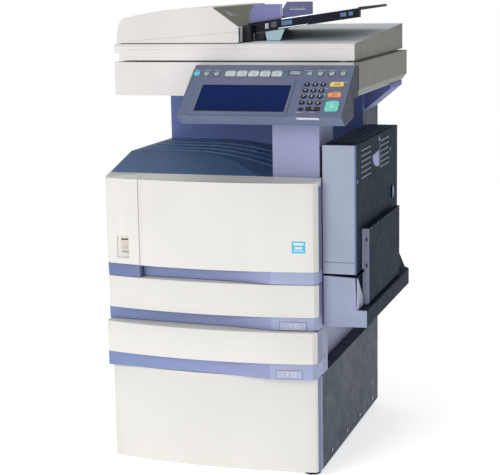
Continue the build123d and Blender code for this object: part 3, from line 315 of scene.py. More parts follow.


def lid_plastic_painted_shade(name, colour, slope_shade_colour):
    """The feeder's lid: white, with painted shade on the sloping face at its right, striped to suggest its
    ribs.
    """
    s = Shader(name, specular=0.35)
    broad = s.spread(0.0, 1.0, 5.0, 3.0)
    tone = s.mix(broad, scaled(colour, 0.97), scaled(colour, 1.02))
    # painted shade: the slope on the right takes a dark colour, and darker stripes stand in for the shade
    # between its ribs
    beyond_ridge = s.beyond(LID_RIDGE[0], LID_RIDGE[1] - LID_SKIN, LID_SLOPE)
    slope = s.math("MULTIPLY", beyond_ridge, s.within(LID_SLOPE_SPAN))
    ribs = s.remap(s.math("SINE", s.math("MULTIPLY", s.axis("Y"), 520.0), 0.0), -0.2, 0.2, 0.8, 1.0)
    shade = s.mix(ribs, scaled(slope_shade_colour, 0.72), slope_shade_colour)
    return plastic(s, s.mix(slope, tone, shade), colour, 0.48, 0.3, 0.05)


def painted_steel(name, colour):
    """Powder-coated sheet: orange-peel texture, small scuffs towards the floor."""
    s = Shader(name, specular=0.2)
    tone = s.mix(s.spread(0.0, 1.0, 4.0, 3.0), scaled(colour, 0.97), scaled(colour, 1.03))
    low = s.remap(s.axis("Z"), 0.02, 0.12, 1.0, 0.0)
    scuff = s.remap(s.noise(90.0, 5.0, 0.7, (1.0, 1.0, 0.25)), 0.60, 0.68, 0.0, 0.6)
    tone = s.mix(s.math("MULTIPLY", low, scuff), tone, scaled(colour, 1.7))
    tone = s.mix(s.math("MULTIPLY", s.edge(), 0.25), tone, scaled(colour, 1.5))
    gloss = s.spread(0.42, 0.58, 30.0, 3.0)
    return s.finish(tone, gloss, s.bump(s.noise(420.0, 2.0, 0.5), 0.25, 0.0002))


def steel(name, colour, roughness=0.35, direction=(1.0, 1.0, 30.0)):
    """Zinc-plated or brushed sheet."""
    s = Shader(name, metallic=1.0)
    grain = s.noise(60.0, 4.0, 0.6, direction)
    fine = s.remap(grain, NOISE_LOW, NOISE_HIGH, 0.0, 1.0)
    tone = s.mix(fine, scaled(colour, 0.85), scaled(colour, 1.1))
    gloss = s.remap(grain, NOISE_LOW, NOISE_HIGH, roughness - 0.08, roughness + 0.1)
    return s.finish(tone, gloss, s.bump(grain, 0.15, 0.0001))


def rubber(name, colour):
    """Matt rubber, dusty in places."""
    s = Shader(name, specular=0.2)
    tone = s.mix(s.spread(0.0, 1.0, 80.0, 4.0), scaled(colour, 0.8), scaled(colour, 1.25))
    gloss = s.spread(0.75, 0.9, 50.0)
    return s.finish(tone, gloss, s.bump(s.noise(900.0, 3.0), 0.4, 0.0002))


def glossy_key(name, colour, roughness=0.28):
    """Hard key cap, slightly polished in its middle by fingers."""
    s = Shader(name, coat=0.08, coat_roughness=0.2, specular=0.25)
    tone = s.mix(s.spread(0.0, 1.0, 60.0, 3.0), scaled(colour, 0.95), scaled(colour, 1.05))
    tone = s.mix(s.math("MULTIPLY", s.edge(), 0.2), tone, scaled(colour, 1.3))
    gloss = s.spread(roughness - 0.06, roughness + 0.08, 180.0, 3.0)
    return s.finish(tone, gloss, s.bump(s.noise(1800.0, 2.0), 0.12, 0.0001))


SCREEN_HEIGHTS = (0.88, 0.96)        # metres over the floor, bottom and top of the screen's painted reflection, a gradient lighter towards the top


def screen(name, colour):
    """Switched-off liquid crystal screen behind a glossy touch film, lightened towards its top by a painted
    reflection.
    """
    s = Shader(name, coat=0.02, coat_roughness=0.1, specular=0.04)
    # painted reflection: the screen gets lighter towards its top
    up = s.remap(s.axis("Z"), *SCREEN_HEIGHTS, 0.0, 1.0)
    tone = s.mix(up, scaled(colour, 0.85), scaled(colour, 1.25))
    tone = s.mix(s.remap(s.noise(3.0, 1.0), 0.35, 0.65, 0.0, 0.35), tone, scaled(colour, 1.15))
    smear = s.spread(0.10, 0.24, 35.0, 4.0, 0.6, (1.0, 1.0, 0.4))
    return s.finish(tone, smear, s.bump(s.noise(2200.0), 0.02, 0.0001))


def glass(name):
    """Clear plate with faint smears."""
    s = Shader(name, transmission=0.85, ior=1.5)
    tone = s.mix(s.spread(0.0, 1.0, 8.0), (196, 214, 210), (206, 222, 220))
    smear = s.spread(0.01, 0.06, 25.0, 4.0)
    return s.finish(tone, smear)


def ink(name, colour, roughness=0.45):
    """Printed mark or label film."""
    s = Shader(name)
    tone = s.mix(s.spread(0.0, 1.0, 300.0, 3.0), scaled(colour, 0.96), scaled(colour, 1.03))
    return s.finish(tone, s.spread(roughness - 0.05, roughness + 0.05, 120.0))


def material_floor():
    """Pale floor that glows a little, so that it stays plain and bright."""
    s = Shader("floor_paint", specular=0.1, emission=0.6)
    s.bsdf.inputs["Emission Color"].default_value = (1.0, 1.0, 1.0, 1.0)
    tone = s.mix(s.spread(0.0, 1.0, 1.5, 3.0), (244, 244, 244), (250, 250, 250))
    return s.finish(tone, s.spread(0.85, 0.95, 6.0))


# 8-bit colours
WHITE = (222, 220, 215)
TOP_WHITE = (220, 217, 216)
FRONT_SIDE = (112, 122, 160)         # the right-hand ends of the white fronts
SHADED_WHITE = (114, 114, 107)       # painted shade on the right-hand ends of the scanner and feeder
LAVENDER = (147, 152, 186)
LAVENDER_LIGHT = (166, 174, 200)
SIDE_FRONT = (172, 180, 200)
SLATE = (22, 40, 54)
COLUMN_BLUE = (88, 104, 160)
TRAY_SLATE = (66, 96, 136)
PANEL_GREY = (100, 110, 136)


def fronted(name, colour, front_colour, depth=4.0, extra=()):
    """Dark moulding whose front face has another colour, for a node that starts at a known y."""
    return moulded(name, colour, 0.62, 0.4, wear=0.12, specular=0.08,
                   patches=[(front_colour, [("Y", None, depth)]), *extra])


def finishes():
    """Every finish by name."""
    right_ends = (("X", 520.0, None), ("Z", None, 705.0))
    return {
        "white": moulded("white_plastic", WHITE, 0.46, 0.28, wear=0.04, mottle=0.012,
                         patches=[(FRONT_SIDE, [("Y", -27.0, None), *right_ends])]),
        "white_left": moulded("left_front_plastic", WHITE, 0.46, 0.28, wear=0.04, mottle=0.012,
                              patches=[((92, 108, 158), [("Z", None, 506.0)])]),
        "white_low": moulded("low_front_plastic", WHITE, 0.46, 0.28, wear=0.04, mottle=0.012,
                             patches=[(FRONT_SIDE, [("Y", -44.0, None), *right_ends])]),
        "top_white": moulded("top_white_plastic", TOP_WHITE, 0.48, 0.3, wear=0.05),
        "stand": painted_steel("stand_paint", (38, 52, 65)),
        "foot": rubber("foot_rubber", (34, 35, 38)),
        "frame": steel("zinc_sheet", (150, 154, 160)),
        "slate": moulded("slate_plastic", SLATE, 0.62, 0.4, wear=0.2, specular=0.1),
        "side_unit": fronted("side_unit_plastic", SLATE, SIDE_FRONT, extra=[
            ((120, 132, 182), [("Y", None, 4.0), ("X", 608.5, None)]),
            ((86, 100, 116), [("Z", 798.6, None)])]),
        "block": fronted("side_block_plastic", scaled(SLATE, 0.95), LAVENDER_LIGHT),
        "bypass": fronted("bypass_plastic", scaled(SLATE, 0.95), LAVENDER_LIGHT, 62.0),
        "lavender": moulded("lavender_plastic", LAVENDER, 0.5, 0.35, wear=0.1),
        "lavender_light": moulded("lavender_light_plastic", LAVENDER_LIGHT, 0.5, 0.35, wear=0.1),
        # painted shadow: the column's right face below the console is darkened where the console's shadow
        # falls
        "blue": moulded("blue_plastic", COLUMN_BLUE, 0.5, 0.35, wear=0.08,
                        patches=[((40, 52, 66), [("X", 529.6, None), ("Z", None, 836.5)])]),
        "tray": moulded("tray_plastic", TRAY_SLATE, 0.38, 0.3, wear=0.25),
        "grip": grip_with_painted_shade("grip_plastic", (116, 132, 176), (146, 152, 190), (162, 169, 200), (0.0, 422.0)),
        "switch": glossy_key("switch_plastic", (190, 184, 172)),
        "key_silver": glossy_key("key_silver", (158, 168, 174)),
        "toner": moulded("toner_plastic", (38, 60, 50), 0.5),
        "drum": glossy_key("drum_coating", (50, 125, 105), 0.15),
        "glass": glass("platen_glass"),
        "roller": rubber("roller_rubber", (70, 70, 74)),
        "navy": moulded("navy_plastic", (11, 15, 28), 0.4, 0.2, wear=0.2, specular=0.12),
        "guide": moulded("guide_plastic", (108, 112, 160), 0.42, 0.25, wear=0.15),
        "latch": moulded("latch_plastic", (140, 152, 200), 0.42, 0.25),
        "panel": moulded("panel_plastic", PANEL_GREY, 0.45, 0.3, wear=0.1,
                         specular=0.2, patches=[((26, 36, 48), [("X", 606.0, None)])]),
        # painted light: the base's top under the originals tray is lighter where the tray's shadow falls;
        # its right end carries painted shade
        "base_white": moulded("base_white_plastic", TOP_WHITE, 0.48, 0.3, wear=0.05, patches=[
            ((222, 230, 238), [("Z", 1027.4, None), ("X", 318.0, None), ("Y", 61.0, None)]),
            (SHADED_WHITE, [("X", 597.4, None)])]),
        # the scanner's right end carries painted shade
        "scanner_white": moulded("scanner_white_plastic", TOP_WHITE, 0.48, 0.3, wear=0.05, patches=[
            (SHADED_WHITE, [("X", 596.0, None)])]),
        "lid": lid_plastic_painted_shade("lid_plastic_painted_shade", TOP_WHITE, (104, 104, 84)),
        "lcd": screen("screen_film", (2, 29, 84)),
        "screw": steel("screw_steel", (170, 172, 176), 0.3, (1.0, 1.0, 1.0)),
        "cassette": moulded("cassette_plastic", (66, 72, 84), 0.5),
        "key_dark": glossy_key("key_dark", (16, 13, 38), 0.4),
        "key_grey": glossy_key("key_grey", (188, 198, 198)),
        "key_yellow": glossy_key("key_yellow", (250, 205, 90)),
        "key_orange": glossy_key("key_orange", (250, 150, 92)),
        "key_teal": glossy_key("key_teal", (112, 212, 194)),
        "key_cyan": glossy_key("key_cyan", (96, 196, 212)),
        "ink_white": ink("ink_white", (225, 228, 232)),
        "ink_grey": ink("ink_grey", (165, 172, 186)),
        "ink_dark": ink("ink_dark", (36, 40, 52)),
        "ink_seam": ink("ink_seam", (196, 176, 176)),
        "ink_seam_blue": ink("ink_seam_blue", (104, 112, 142)),
        "sticker": ink("sticker_film", (70, 186, 224), 0.3),
        "name_bar": ink("name_bar", (206, 210, 214), 0.3),
        "tag": ink("tag_film", (172, 178, 206), 0.35),
        "lamp": glossy_key("lamp_lens", (34, 44, 62)),
        "fin": moulded("fin_plastic", (150, 164, 176), 0.5),
        "flap": moulded("flap_plastic", (158, 186, 200), 0.35, 0.2),
        "trim": steel("bright_trim", (200, 204, 214), 0.3, (20.0, 1.0, 1.0)),
        "dark": moulded("dark_plastic", (22, 26, 34), 0.6),
    }


# the finish of each node; number and mode keys get theirs in finish_node()
NODE_FINISH = {
    "stand_cabinet": "stand", "stand_front_panel": "white", "stand_feet": "foot", "body_frame": "frame",
    "left_cover": "top_white", "rear_cover": "slate", "right_lower_cover": "lavender",
    "rear_column_cover": "blue", "front_column_cover": "lavender", "exit_tray": "tray",
    "front_left_panel": "white_left", "power_switch": "switch", "front_cover": "white",
    "front_cover_grip": "grip", "toner_cartridge": "toner", "drum": "drum",
    "scanner_housing": "scanner_white", "platen_glass": "glass", "scan_carriage": "frame",
    "adf_base": "base_white", "adf_cover": "lid", "adf_feed_roller": "roller", "document_tray": "navy",
    "document_guide_front": "guide", "document_guide_rear": "guide", "side_unit_cover": "side_unit",
    "side_unit_latch": "latch", "lower_side_block": "block", "bypass_tray": "bypass",
    "control_panel_housing": "panel", "lcd_screen": "lcd", "cover_screws": "screw",
    "clear_key": "key_dark", "function_clear_key": "key_yellow", "stop_key": "key_orange",
    "start_key": "key_teal", "power_save_key": "key_cyan", "cassette_1_front": "white",
    "cassette_2_front": "white_low", "cassette_1_grip": "grip", "cassette_2_grip": "grip",
    "cassette_1_tray": "cassette", "cassette_2_tray": "cassette",
}

# rounding of the nodes' edges, in millimetres; the rest get DEFAULT_ROUND
EDGE_ROUND = {
    "front_cover": 1.6, "front_left_panel": 1.6, "cassette_1_front": 1.6, "cassette_2_front": 1.6,
    "stand_front_panel": 1.6, "scanner_housing": 1.8, "adf_base": 1.6, "adf_cover": 1.8,
    "side_unit_cover": 1.2, "lower_side_block": 1.5, "bypass_tray": 1.2, "control_panel_housing": 0.5,
    "front_column_cover": 1.5, "rear_column_cover": 1.5, "document_tray": 1.2,
    "exit_tray": 1.2, "body_frame": 0.0, "platen_glass": 0.4, "lcd_screen": 0.3,
}
DEFAULT_ROUND = 0.5
NODE_CREASE, PIECE_CREASE = 32, 40   # edges sharper than this many degrees are rounded
WELD_GAP = 1e-5


def round_edges(piece, width, crease):
    """Bevels the sharp edges of a piece; width in millimetres, crease in degrees."""
    bevel = piece.modifiers.new("round", "BEVEL")
    bevel.width = width * MM
    bevel.segments = 2
    bevel.limit_method = "ANGLE"
    bevel.angle_limit = math.radians(crease)


def finish_node(name, materials):
    """Gives a CAD node its finish and rounds its edges with modifiers."""
    node = NODES[name]
    if name.startswith("key_"):
        finish = "key_dark"
    elif name.startswith("mode_key"):
        finish = "key_grey"
    else:
        finish = NODE_FINISH[name]
    for place in node.material_slots:
        place.material = materials[finish]
    width = EDGE_ROUND.get(name, DEFAULT_ROUND)
    if width > 0.0:
        weld = node.modifiers.new("weld", "WELD")
        weld.merge_threshold = WELD_GAP
        round_edges(node, width, NODE_CREASE)


# ---------------------------------------------------------------- geometry of the added pieces
class Plane:
    """A flat working surface: an origin in body millimetres, two directions in it and its outward normal.
    Points on it are (u, v): u millimetres across, v up."""

    def __init__(self, origin, across, up):
        self.origin = at(*origin)
        self.across = Vector(across).normalized()
        self.up = Vector(up).normalized()
        self.out = self.across.cross(self.up)

    def point(self, u, v, w):
        return self.origin + (self.across * u + self.up * v + self.out * w) * MM

    def matrix(self, u, v, w):
        turn = Matrix((self.across, self.up, self.out)).transposed().to_4x4()
        return Matrix.Translation(self.point(u, v, w)) @ turn


def front_plane(y):
    """Upright plane facing the front, at one y."""
    return Plane((0.0, y, 0.0), (1, 0, 0), (0, 0, 1))


def right_plane(x):
    """Upright plane facing right, at one x; u is the body's y."""
    return Plane((x, 0.0, 0.0), (0, 1, 0), (0, 0, 1))


FACE = Plane((0.0, -110.0, 873.0), (1, 0, 0), (0, 134.0, 105.0))         # the console's sloping face
LIP = Plane((0.0, -75.0, 851.0), (1, 0, 0), (0, -35.0, 22.0))            # its underside at the front
SIDE = right_plane(612.0)                                                # the side unit's louvred face
LID_SIDE = Plane((LID_RIDGE[0], 0.0, LID_RIDGE[1]), (1.0, 0, -LID_SLOPE), (0, 1, 0))
SUNK = -0.1                          # pieces start just under the surface they sit on
PRINT = 0.12                         # height of printed marks over their surface


def box_outline(u0, u1, v0, v1, corner=0.0, steps=4):
    """Rectangle, with round corners if corner is given."""
    if corner <= 0.0:
        return [(u0, v0), (u1, v0), (u1, v1), (u0, v1)]
    points = []
    for u, v, start in ((u1, v0, -90), (u1, v1, 0), (u0, v1, 90), (u0, v0, 180)):
        centre_u = u - corner if u == u1 else u + corner
        centre_v = v - corner if v == v1 else v + corner
        for step in range(steps + 1):
            turn = math.radians(start + 90.0 * step / steps)
            points.append((centre_u + corner * math.cos(turn), centre_v + corner * math.sin(turn)))
    return points


def round_outline(u, v, radius_u, radius_v=None, count=28):
    radius_v = radius_v or radius_u
    turns = [2 * math.pi * step / count for step in range(count)]
    return [(u + radius_u * math.cos(t), v + radius_v * math.sin(t)) for t in turns]


def make_piece(name, mesh, finish, body, edge=0.0):
    """Links a mesh as a piece that rides on a body, with its finish and rounded edges."""
    piece = bpy.data.objects.new(name, mesh)
    bpy.context.scene.collection.objects.link(piece)
    mesh.materials.append(MATERIALS[finish])
    if edge > 0.0:
        round_edges(piece, edge, PIECE_CREASE)
    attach(piece, body)


def join_loops(shape, lower, upper):
    """Side faces between two closed loops of as many vertices."""
    for step in range(len(lower)):
        after = (step + 1) % len(lower)
        shape.faces.new((lower[step], lower[after], upper[after], upper[step]))


def make_shape(name, shape, finish, body, edge=0.0, smooth=False):
    """Turns a finished bmesh into a piece."""
    bmesh.ops.recalc_face_normals(shape, faces=shape.faces)
    mesh = bpy.data.meshes.new(name)
    shape.to_mesh(mesh)
    shape.free()
    if smooth:
        mesh.shade_smooth()
    make_piece(name, mesh, finish, body, edge)


def slabs(name, outlines, plane, low, high, finish, body, edge=0.2):
    """One piece of several flat slabs: outlines in a plane, raised from low to high over it."""
    shape = bmesh.new()
    for outline in outlines:
        bottom = [shape.verts.new(plane.point(u, v, low)) for u, v in outline]
        top = [shape.verts.new(plane.point(u, v, high)) for u, v in outline]
        shape.faces.new(top)
        shape.faces.new(bottom[::-1])
        join_loops(shape, bottom, top)
    make_shape(name, shape, finish, body, edge)


def ring_outlines(u0, u1, v0, v1, width):
    """Four strips that frame a rectangle."""
    return [box_outline(u0, u1, v1 - width, v1), box_outline(u0, u1, v0, v0 + width),
            box_outline(u0, u0 + width, v0 + width, v1 - width),
            box_outline(u1 - width, u1, v0 + width, v1 - width)]


DOME_RINGS = ((1.0, 0.0), (1.0, 0.55), (0.9, 0.82), (0.62, 0.95), (0.3, 1.0))    # shares of radius, height


def domes(name, places, plane, low, high, finish, body):
    """One piece of several domed caps: each place is (u, v, radius across, radius up)."""
    shape = bmesh.new()
    for u, v, radius_u, radius_v in places:
        loops = []
        for share, rise in DOME_RINGS:
            outline = round_outline(u, v, radius_u * share, radius_v * share)
            height = low + (high - low) * rise
            loops.append([shape.verts.new(plane.point(a, b, height)) for a, b in outline])
        for lower, upper in zip(loops, loops[1:]):
            join_loops(shape, lower, upper)
        shape.faces.new(loops[-1])
        shape.faces.new(loops[0][::-1])
    make_shape(name, shape, finish, body, smooth=True)


SIGN_DEPTH = 0.05


def sign(name, words, plane, u, v, w, size, finish, body):
    """A generic digit or symbol as a thin raised print."""
    curve = bpy.data.curves.new(name, "FONT")
    curve.body = words
    curve.size = size * MM
    curve.extrude = SIGN_DEPTH * MM
    curve.align_x = "CENTER"
    curve.align_y = "CENTER"
    piece = bpy.data.objects.new(name, curve)
    bpy.context.scene.collection.objects.link(piece)
    curve.materials.append(MATERIALS[finish])
    piece.matrix_world = plane.matrix(u, v, w)
    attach(piece, body)


FRONT_HALF = 257.0                   # half the bowed width of the fronts
FRONT_MIDDLE = 265.0                 # x of their middle
FRONT_BOW = 25.0                     # how far the middle stands out
PLATE_COLUMNS = 8                    # steps of a plate that follows the bow
PLATE_SUNK = 0.3                     # how deep it reaches into the front


def bowed(x, face_y):
    """y of a bowed front face at x, as in the CAD."""
    radius = (FRONT_HALF ** 2 + FRONT_BOW ** 2) / (2 * FRONT_BOW)
    return face_y - FRONT_BOW + radius - math.sqrt(radius ** 2 - (x - FRONT_MIDDLE) ** 2)


def bowed_plates(name, outlines, face_y, proud, finish, body):
    """One piece of thin plates that follow a bowed front: each outline is (x0, x1, z0, z1)."""
    shape = bmesh.new()
    for x0, x1, z0, z1 in outlines:
        rows = []
        for step in range(PLATE_COLUMNS + 1):
            x = x0 + (x1 - x0) * step / PLATE_COLUMNS
            y = bowed(x, face_y)
            rows.append([shape.verts.new(at(x, y + depth, z)) for depth, z in (
                (-proud, z0), (-proud, z1), (PLATE_SUNK, z1), (PLATE_SUNK, z0))])
        for left, right in zip(rows, rows[1:]):
            join_loops(shape, left, right)
        shape.faces.new(rows[0][::-1])
        shape.faces.new(rows[-1])
    make_shape(name, shape, finish, body)


# ---------------------------------------------------------------- console details
KEY_TOP = 1.8                        # how far the keys stand over the console's face
SIGN_TOP = KEY_TOP + 0.02            # where the digits on them lie
SYMBOL_LOW, SYMBOL_TOP = KEY_TOP - 0.02, KEY_TOP + 0.1
STAR_DROP = 1.6                      # a star stands high in its line
PAD_COLUMNS = (506.0, 524.8, 543.6)
PAD_ROWS = (107.0, 86.9, 66.8, 46.7)
PAD = (("1", "2", "3"), ("4", "5", "6"), ("7", "8", "9"), ("star", "0", "hash"))
SYMBOLS = {"star": "*", "hash": "#"}
MODE_FIRST, MODE_PITCH, MODE_KEYS, TOP_ROW = 313.7, 28.2, 5, 141.0
ROUND_KEYS = ((254.6, 141.0), (279.5, 141.0), (530.0, 143.0), (557.0, 143.0), (583.0, 143.0))
LAMP_ROWS, LAMP_RADIUS = (143.0, 149.0), 1.5
# label marks: x, distance up the face and width
LABEL_DASHES = [(MODE_FIRST + n * MODE_PITCH, 153.6, 18.0) for n in range(MODE_KEYS)] + [
    (230.6, 153.0, 11.0), (254.6, 154.0, 18.0), (254.6, 129.5, 9.0), (279.5, 153.0, 15.0),
    (500.0, 154.5, 22.0), (530.0, 154.5, 22.0), (557.0, 154.5, 16.0), (583.0, 154.5, 13.0),
    (582.0, 116.5, 36.0), (580.0, 83.5, 14.0), (580.0, 54.5, 15.0),
    (506.0, 15.5, 16.0), (535.0, 16.5, 12.0),
    (517.0, 113.4, 4.5), (535.0, 113.4, 4.5), (516.0, 94.4, 4.5), (535.0, 94.4, 4.5), (554.0, 94.4, 5.5),
    (516.0, 74.4, 4.5), (535.0, 74.4, 4.5), (554.0, 74.4, 5.5)]


def dash(u, v, width):
    """Outline of a printed dash, centred on (u, v)."""
    return box_outline(u - width / 2, u + width / 2, v - 0.9, v + 0.9)


def console_pieces():
    """Signs on the keys, the small fixed keys and lamps, label marks and the screen's frame."""
    for row, names in zip(PAD_ROWS, PAD):
        for column, key in zip(PAD_COLUMNS, names):
            drop = STAR_DROP if key == "star" else 0.0
            words = SYMBOLS.get(key, key)
            sign("sign_" + key, words, FACE, column, row - drop, SIGN_TOP, 9.0, "ink_white",
                 "key_%s_cap" % key)
    sign("sign_clear", "C", FACE, 535.7, 27.0, SIGN_TOP, 8.5, "ink_white", "clear_key_cap")
    diamond = [(578.0 + a, 35.0 + b) for a, b in ((-4.5, 0.0), (0.0, -4.5), (4.5, 0.0), (0.0, 4.5))]
    slabs("start_mark", [diamond], FACE, SYMBOL_LOW, SYMBOL_TOP, "ink_white", "start_key_cap",
          0.0)
    slabs("stop_mark", ring_outlines(572.0, 582.0, 69.0, 76.0, 0.9), FACE, SYMBOL_LOW, SYMBOL_TOP,
          "ink_dark", "stop_key_cap", 0.0)
    slabs("function_mark", [box_outline(569.0, 584.0, 105.6, 108.2)], FACE, SYMBOL_LOW, SYMBOL_TOP,
          "ink_dark", "function_clear_key_cap", 0.0)
    for number in range(MODE_KEYS):
        x = MODE_FIRST + number * MODE_PITCH
        marks = [round_outline(x + 1.0, TOP_ROW, 4.2, 3.0, 20)] if number else [
            box_outline(x - 6.0, x + 6.0, TOP_ROW - 0.5, TOP_ROW + 0.5)]
        slabs("mode_mark_%d" % (number + 1), marks, FACE, SYMBOL_LOW, KEY_TOP + 0.08, "ink_grey",
              "mode_key_%d_cap" % (number + 1), 0.0)
    slabs("round_key_collars", [round_outline(u, v, 8.3) for u, v in ROUND_KEYS], FACE, -0.2, 0.5, "dark",
          "main_unit")
    domes("round_keys", [(u, v, 6.8, 6.8) for u, v in ROUND_KEYS], FACE, 0.0, 2.2, "key_silver",
          "main_unit")
    slabs("triangle_key", [[(496.5, 142.9), (509.5, 136.2), (509.5, 149.6)]], FACE, -0.2, 1.9, "key_silver",
          "main_unit", 0.6)
    domes("small_oval_key", [(507.9, 25.8, 6.6, 5.3)], FACE, -0.2, 1.8, "key_dark", "main_unit")
    lamps = [(u, 138.8) for u in (454.0, 461.0, 468.0, 475.0)] + [(454.0, v) for v in LAMP_ROWS]
    domes("indicator_lamps", [(u, v, LAMP_RADIUS, LAMP_RADIUS) for u, v in lamps], FACE, SUNK, 0.8, "lamp",
          "main_unit")
    slabs("indicator_dashes", [dash(469.0, v, 22.0) for v in LAMP_ROWS], FACE, SUNK, PRINT, "ink_white",
          "main_unit", 0.0)
    slabs("label_dashes", [dash(*place) for place in LABEL_DASHES], FACE, SUNK, PRINT, "ink_grey",
          "main_unit", 0.0)
    slabs("screen_frame", ring_outlines(256.2, 470.8, 14.2, 101.8, 1.8), FACE, 1.9, 2.3, "dark",
          "main_unit", 0.1)
    slabs("console_name_bar", [box_outline(502.0, 554.0, 30.5, 39.5, 0.8)], LIP, -0.2, 0.8, "name_bar",
          "main_unit")


# ---------------------------------------------------------------- details of the fronts
DOOR_FACE, LOWER_FACE = -42.0, -59.0     # y of the faces at the middle of their bow
# cassette, left, right, bottom and top of its tag, y of its face, digit
TAGS = (("upper", 442.0, 503.0, 367.5, 386.5, DOOR_FACE, "1"),
        ("lower", 437.0, 497.0, 255.0, 274.0, LOWER_FACE, "2"))
TAG_EDGE = 0.9
TAG_DIGIT_X, TAG_SHEET_X = 26.0, 36.0    # from the tag's left end
SHEET_SIZE, SHEET_LINE = 10.0, 1.1


def front_pieces():
    """The door's sticker and the cassettes' tags."""
    bowed_plates("door_sticker", [(472.0, 503.0, 551.0, 579.0)], DOOR_FACE, 0.25, "sticker", "front_door")
    bowed_plates("door_sticker_marks", [(476.0, 499.0, 570.0, 575.5), (476.0, 499.0, 556.0, 558.0),
                                        (479.0, 496.0, 561.0, 566.0)],
                 DOOR_FACE, 0.4, "ink_white", "front_door")
    for name, x0, x1, z0, z1, face, digit in TAGS:
        body = name + "_cassette"
        edge = [(x0 - TAG_EDGE, x1 + TAG_EDGE, z0 - TAG_EDGE, z1 + TAG_EDGE)]
        bowed_plates(name + "_tag_edge", edge, face, 0.2, "ink_dark", body)
        bowed_plates(name + "_tag", [(x0, x1, z0, z1)], face, 0.45, "tag", body)
        middle = (z0 + z1) / 2
        left, low = x0 + TAG_SHEET_X, middle - SHEET_SIZE / 2
        right, high = left + SHEET_SIZE, low + SHEET_SIZE
        sheet_icon = [(left, right, high - SHEET_LINE, high), (left, right, low, low + SHEET_LINE),
                      (left, left + SHEET_LINE, low, high), (right - SHEET_LINE, right, low, high)]
        bowed_plates(name + "_tag_sheet", sheet_icon, face, 0.6, "ink_white", body)
        mark_x = x0 + TAG_DIGIT_X
        sign(name + "_tag_digit", digit, front_plane(bowed(mark_x, face) - 0.62), mark_x, middle, 0.0, 12.0,
             "ink_white", body)


# ---------------------------------------------------------------- feeder details
LID_FRONT, LID_FOOT = 58.0, 1029.0   # y and z of the lid's front bottom edge
LID_LEAN = 32.0 / 84.0               # how far the lid's front leans back, per height
LID_END = 314.0                      # x of the lid's right end
DOC_LEFT, DOC_TOP, DOC_RISE = 320.0, 1072.0, 0.135     # top of the originals tray: x, z, rise per run
RAIL_FACE = 118.0                    # y of the front of the tray's side rail
SCALE_TICKS = (345.0, 353.0, 361.0, 369.0, 377.0)


def lid_front(z):
    """y of the lid's leaning front at z."""
    return LID_FRONT + (z - LID_FOOT) * LID_LEAN


def doc_height(x):
    """Top of the originals tray at x, as in the CAD."""
    return DOC_TOP + DOC_RISE * (x - DOC_LEFT)


def sloping_strip(x0, x1, below, above):
    """Outline of a strip that follows the originals tray's top edge."""
    return [(x0, doc_height(x0) - below), (x1, doc_height(x1) - below), (x1, doc_height(x1) + above),
            (x0, doc_height(x0) + above)]


def feeder_pieces():
    """Seams, trims and marks of the feeder's lid, originals tray and guides."""
    lean = Plane((0.0, LID_FRONT, LID_FOOT), (1, 0, 0), (0, LID_LEAN, 1.0))
    crease = [(30.0, 4.0), (314.0, 27.4), (314.0, 28.3), (30.0, 4.9)]
    slabs("lid_crease", [crease], lean, SUNK, PRINT, "ink_seam", "feeder_lid", 0.0)
    slabs("lid_end_strip", [box_outline(lid_front(1030.0) + 1.0, 72.0, 1030.0, 1064.0)],
          right_plane(LID_END), -0.2, 1.2, "trim", "feeder_lid")
    marks = [box_outline(24.0, 44.0, y, y + 2.6) for y in (128.0, 142.0, 156.0, 170.0)]
    slabs("lid_slope_mark", marks[:1], LID_SIDE, SUNK, 0.8, "ink_white", "feeder_lid")
    slabs("lid_slope_ribs", marks[1:], LID_SIDE, SUNK, 0.6, "ink_grey", "feeder_lid")
    rail = front_plane(RAIL_FACE)
    tray = "originals_tray"
    recesses = [sloping_strip(404.0, 430.0, 17.0, -6.0), sloping_strip(548.0, 562.0, 17.0, -8.0),
                sloping_strip(568.0, 578.0, 17.0, -8.0)]
    clips = [sloping_strip(364.0, 367.5, 19.0, -6.0), sloping_strip(369.5, 372.0, 19.0, -6.0)]
    slabs("tray_rail_trim", [sloping_strip(404.0, 591.0, 2.6, 0.0)], rail, SUNK, 0.8, "trim", tray,
          0.1)
    slabs("tray_rail_low_trim", [sloping_strip(396.0, 470.0, 23.0, -21.2)], rail, SUNK, 0.6, "trim", tray,
          0.1)
    slabs("tray_rail_recess", recesses, rail, SUNK, 0.3, "tray", tray, 0.1)
    slabs("tray_rail_clip", clips, rail, SUNK, 1.6, "name_bar", tray)
    slabs("tray_rail_lock", [sloping_strip(378.0, 392.0, 18.0, -5.0)], rail, SUNK, 1.2, "cassette", tray)
    flap = [(366.0, 1031.5), (399.0, 1031.5), (411.0, 1059.0), (362.0, 1052.5)]
    slabs("tray_flap", [flap], front_plane(122.0), -1.2, 0.0, "flap", tray)
    slabs("tray_pivot_shade", [box_outline(336.0, 360.0, 1034.0, 1048.5, 1.0)], front_plane(121.0),
          -6.0, 0.0, "dark", tray)
    # dark block over the pivot ear that also stands in for the shade between the lid's end and the tray's
    # rail
    slabs("tray_pivot_cover_and_shade", [box_outline(316.0, 334.0, 1030.4, 1069.0, 2.0)], front_plane(117.4),
          0.0, 25.0, "dark", "feeder", 0.8)
    guide = front_plane(404.0)
    ticks = [[(u, 1099.0), (u + 2.0, 1099.0), (u + 1.0, 1105.0)] for u in SCALE_TICKS]
    slabs("guide_scale", ticks + [box_outline(342.0, 384.0, 1096.6, 1098.4)], guide, -0.05, 0.15,
          "ink_white", "guide_rear", 0.0)
    slabs("guide_edge", [box_outline(399.0, 401.6, 1086.0, 1116.0)], front_plane(128.0), SUNK, 0.5, "latch",
          "guide_front", 0.1)


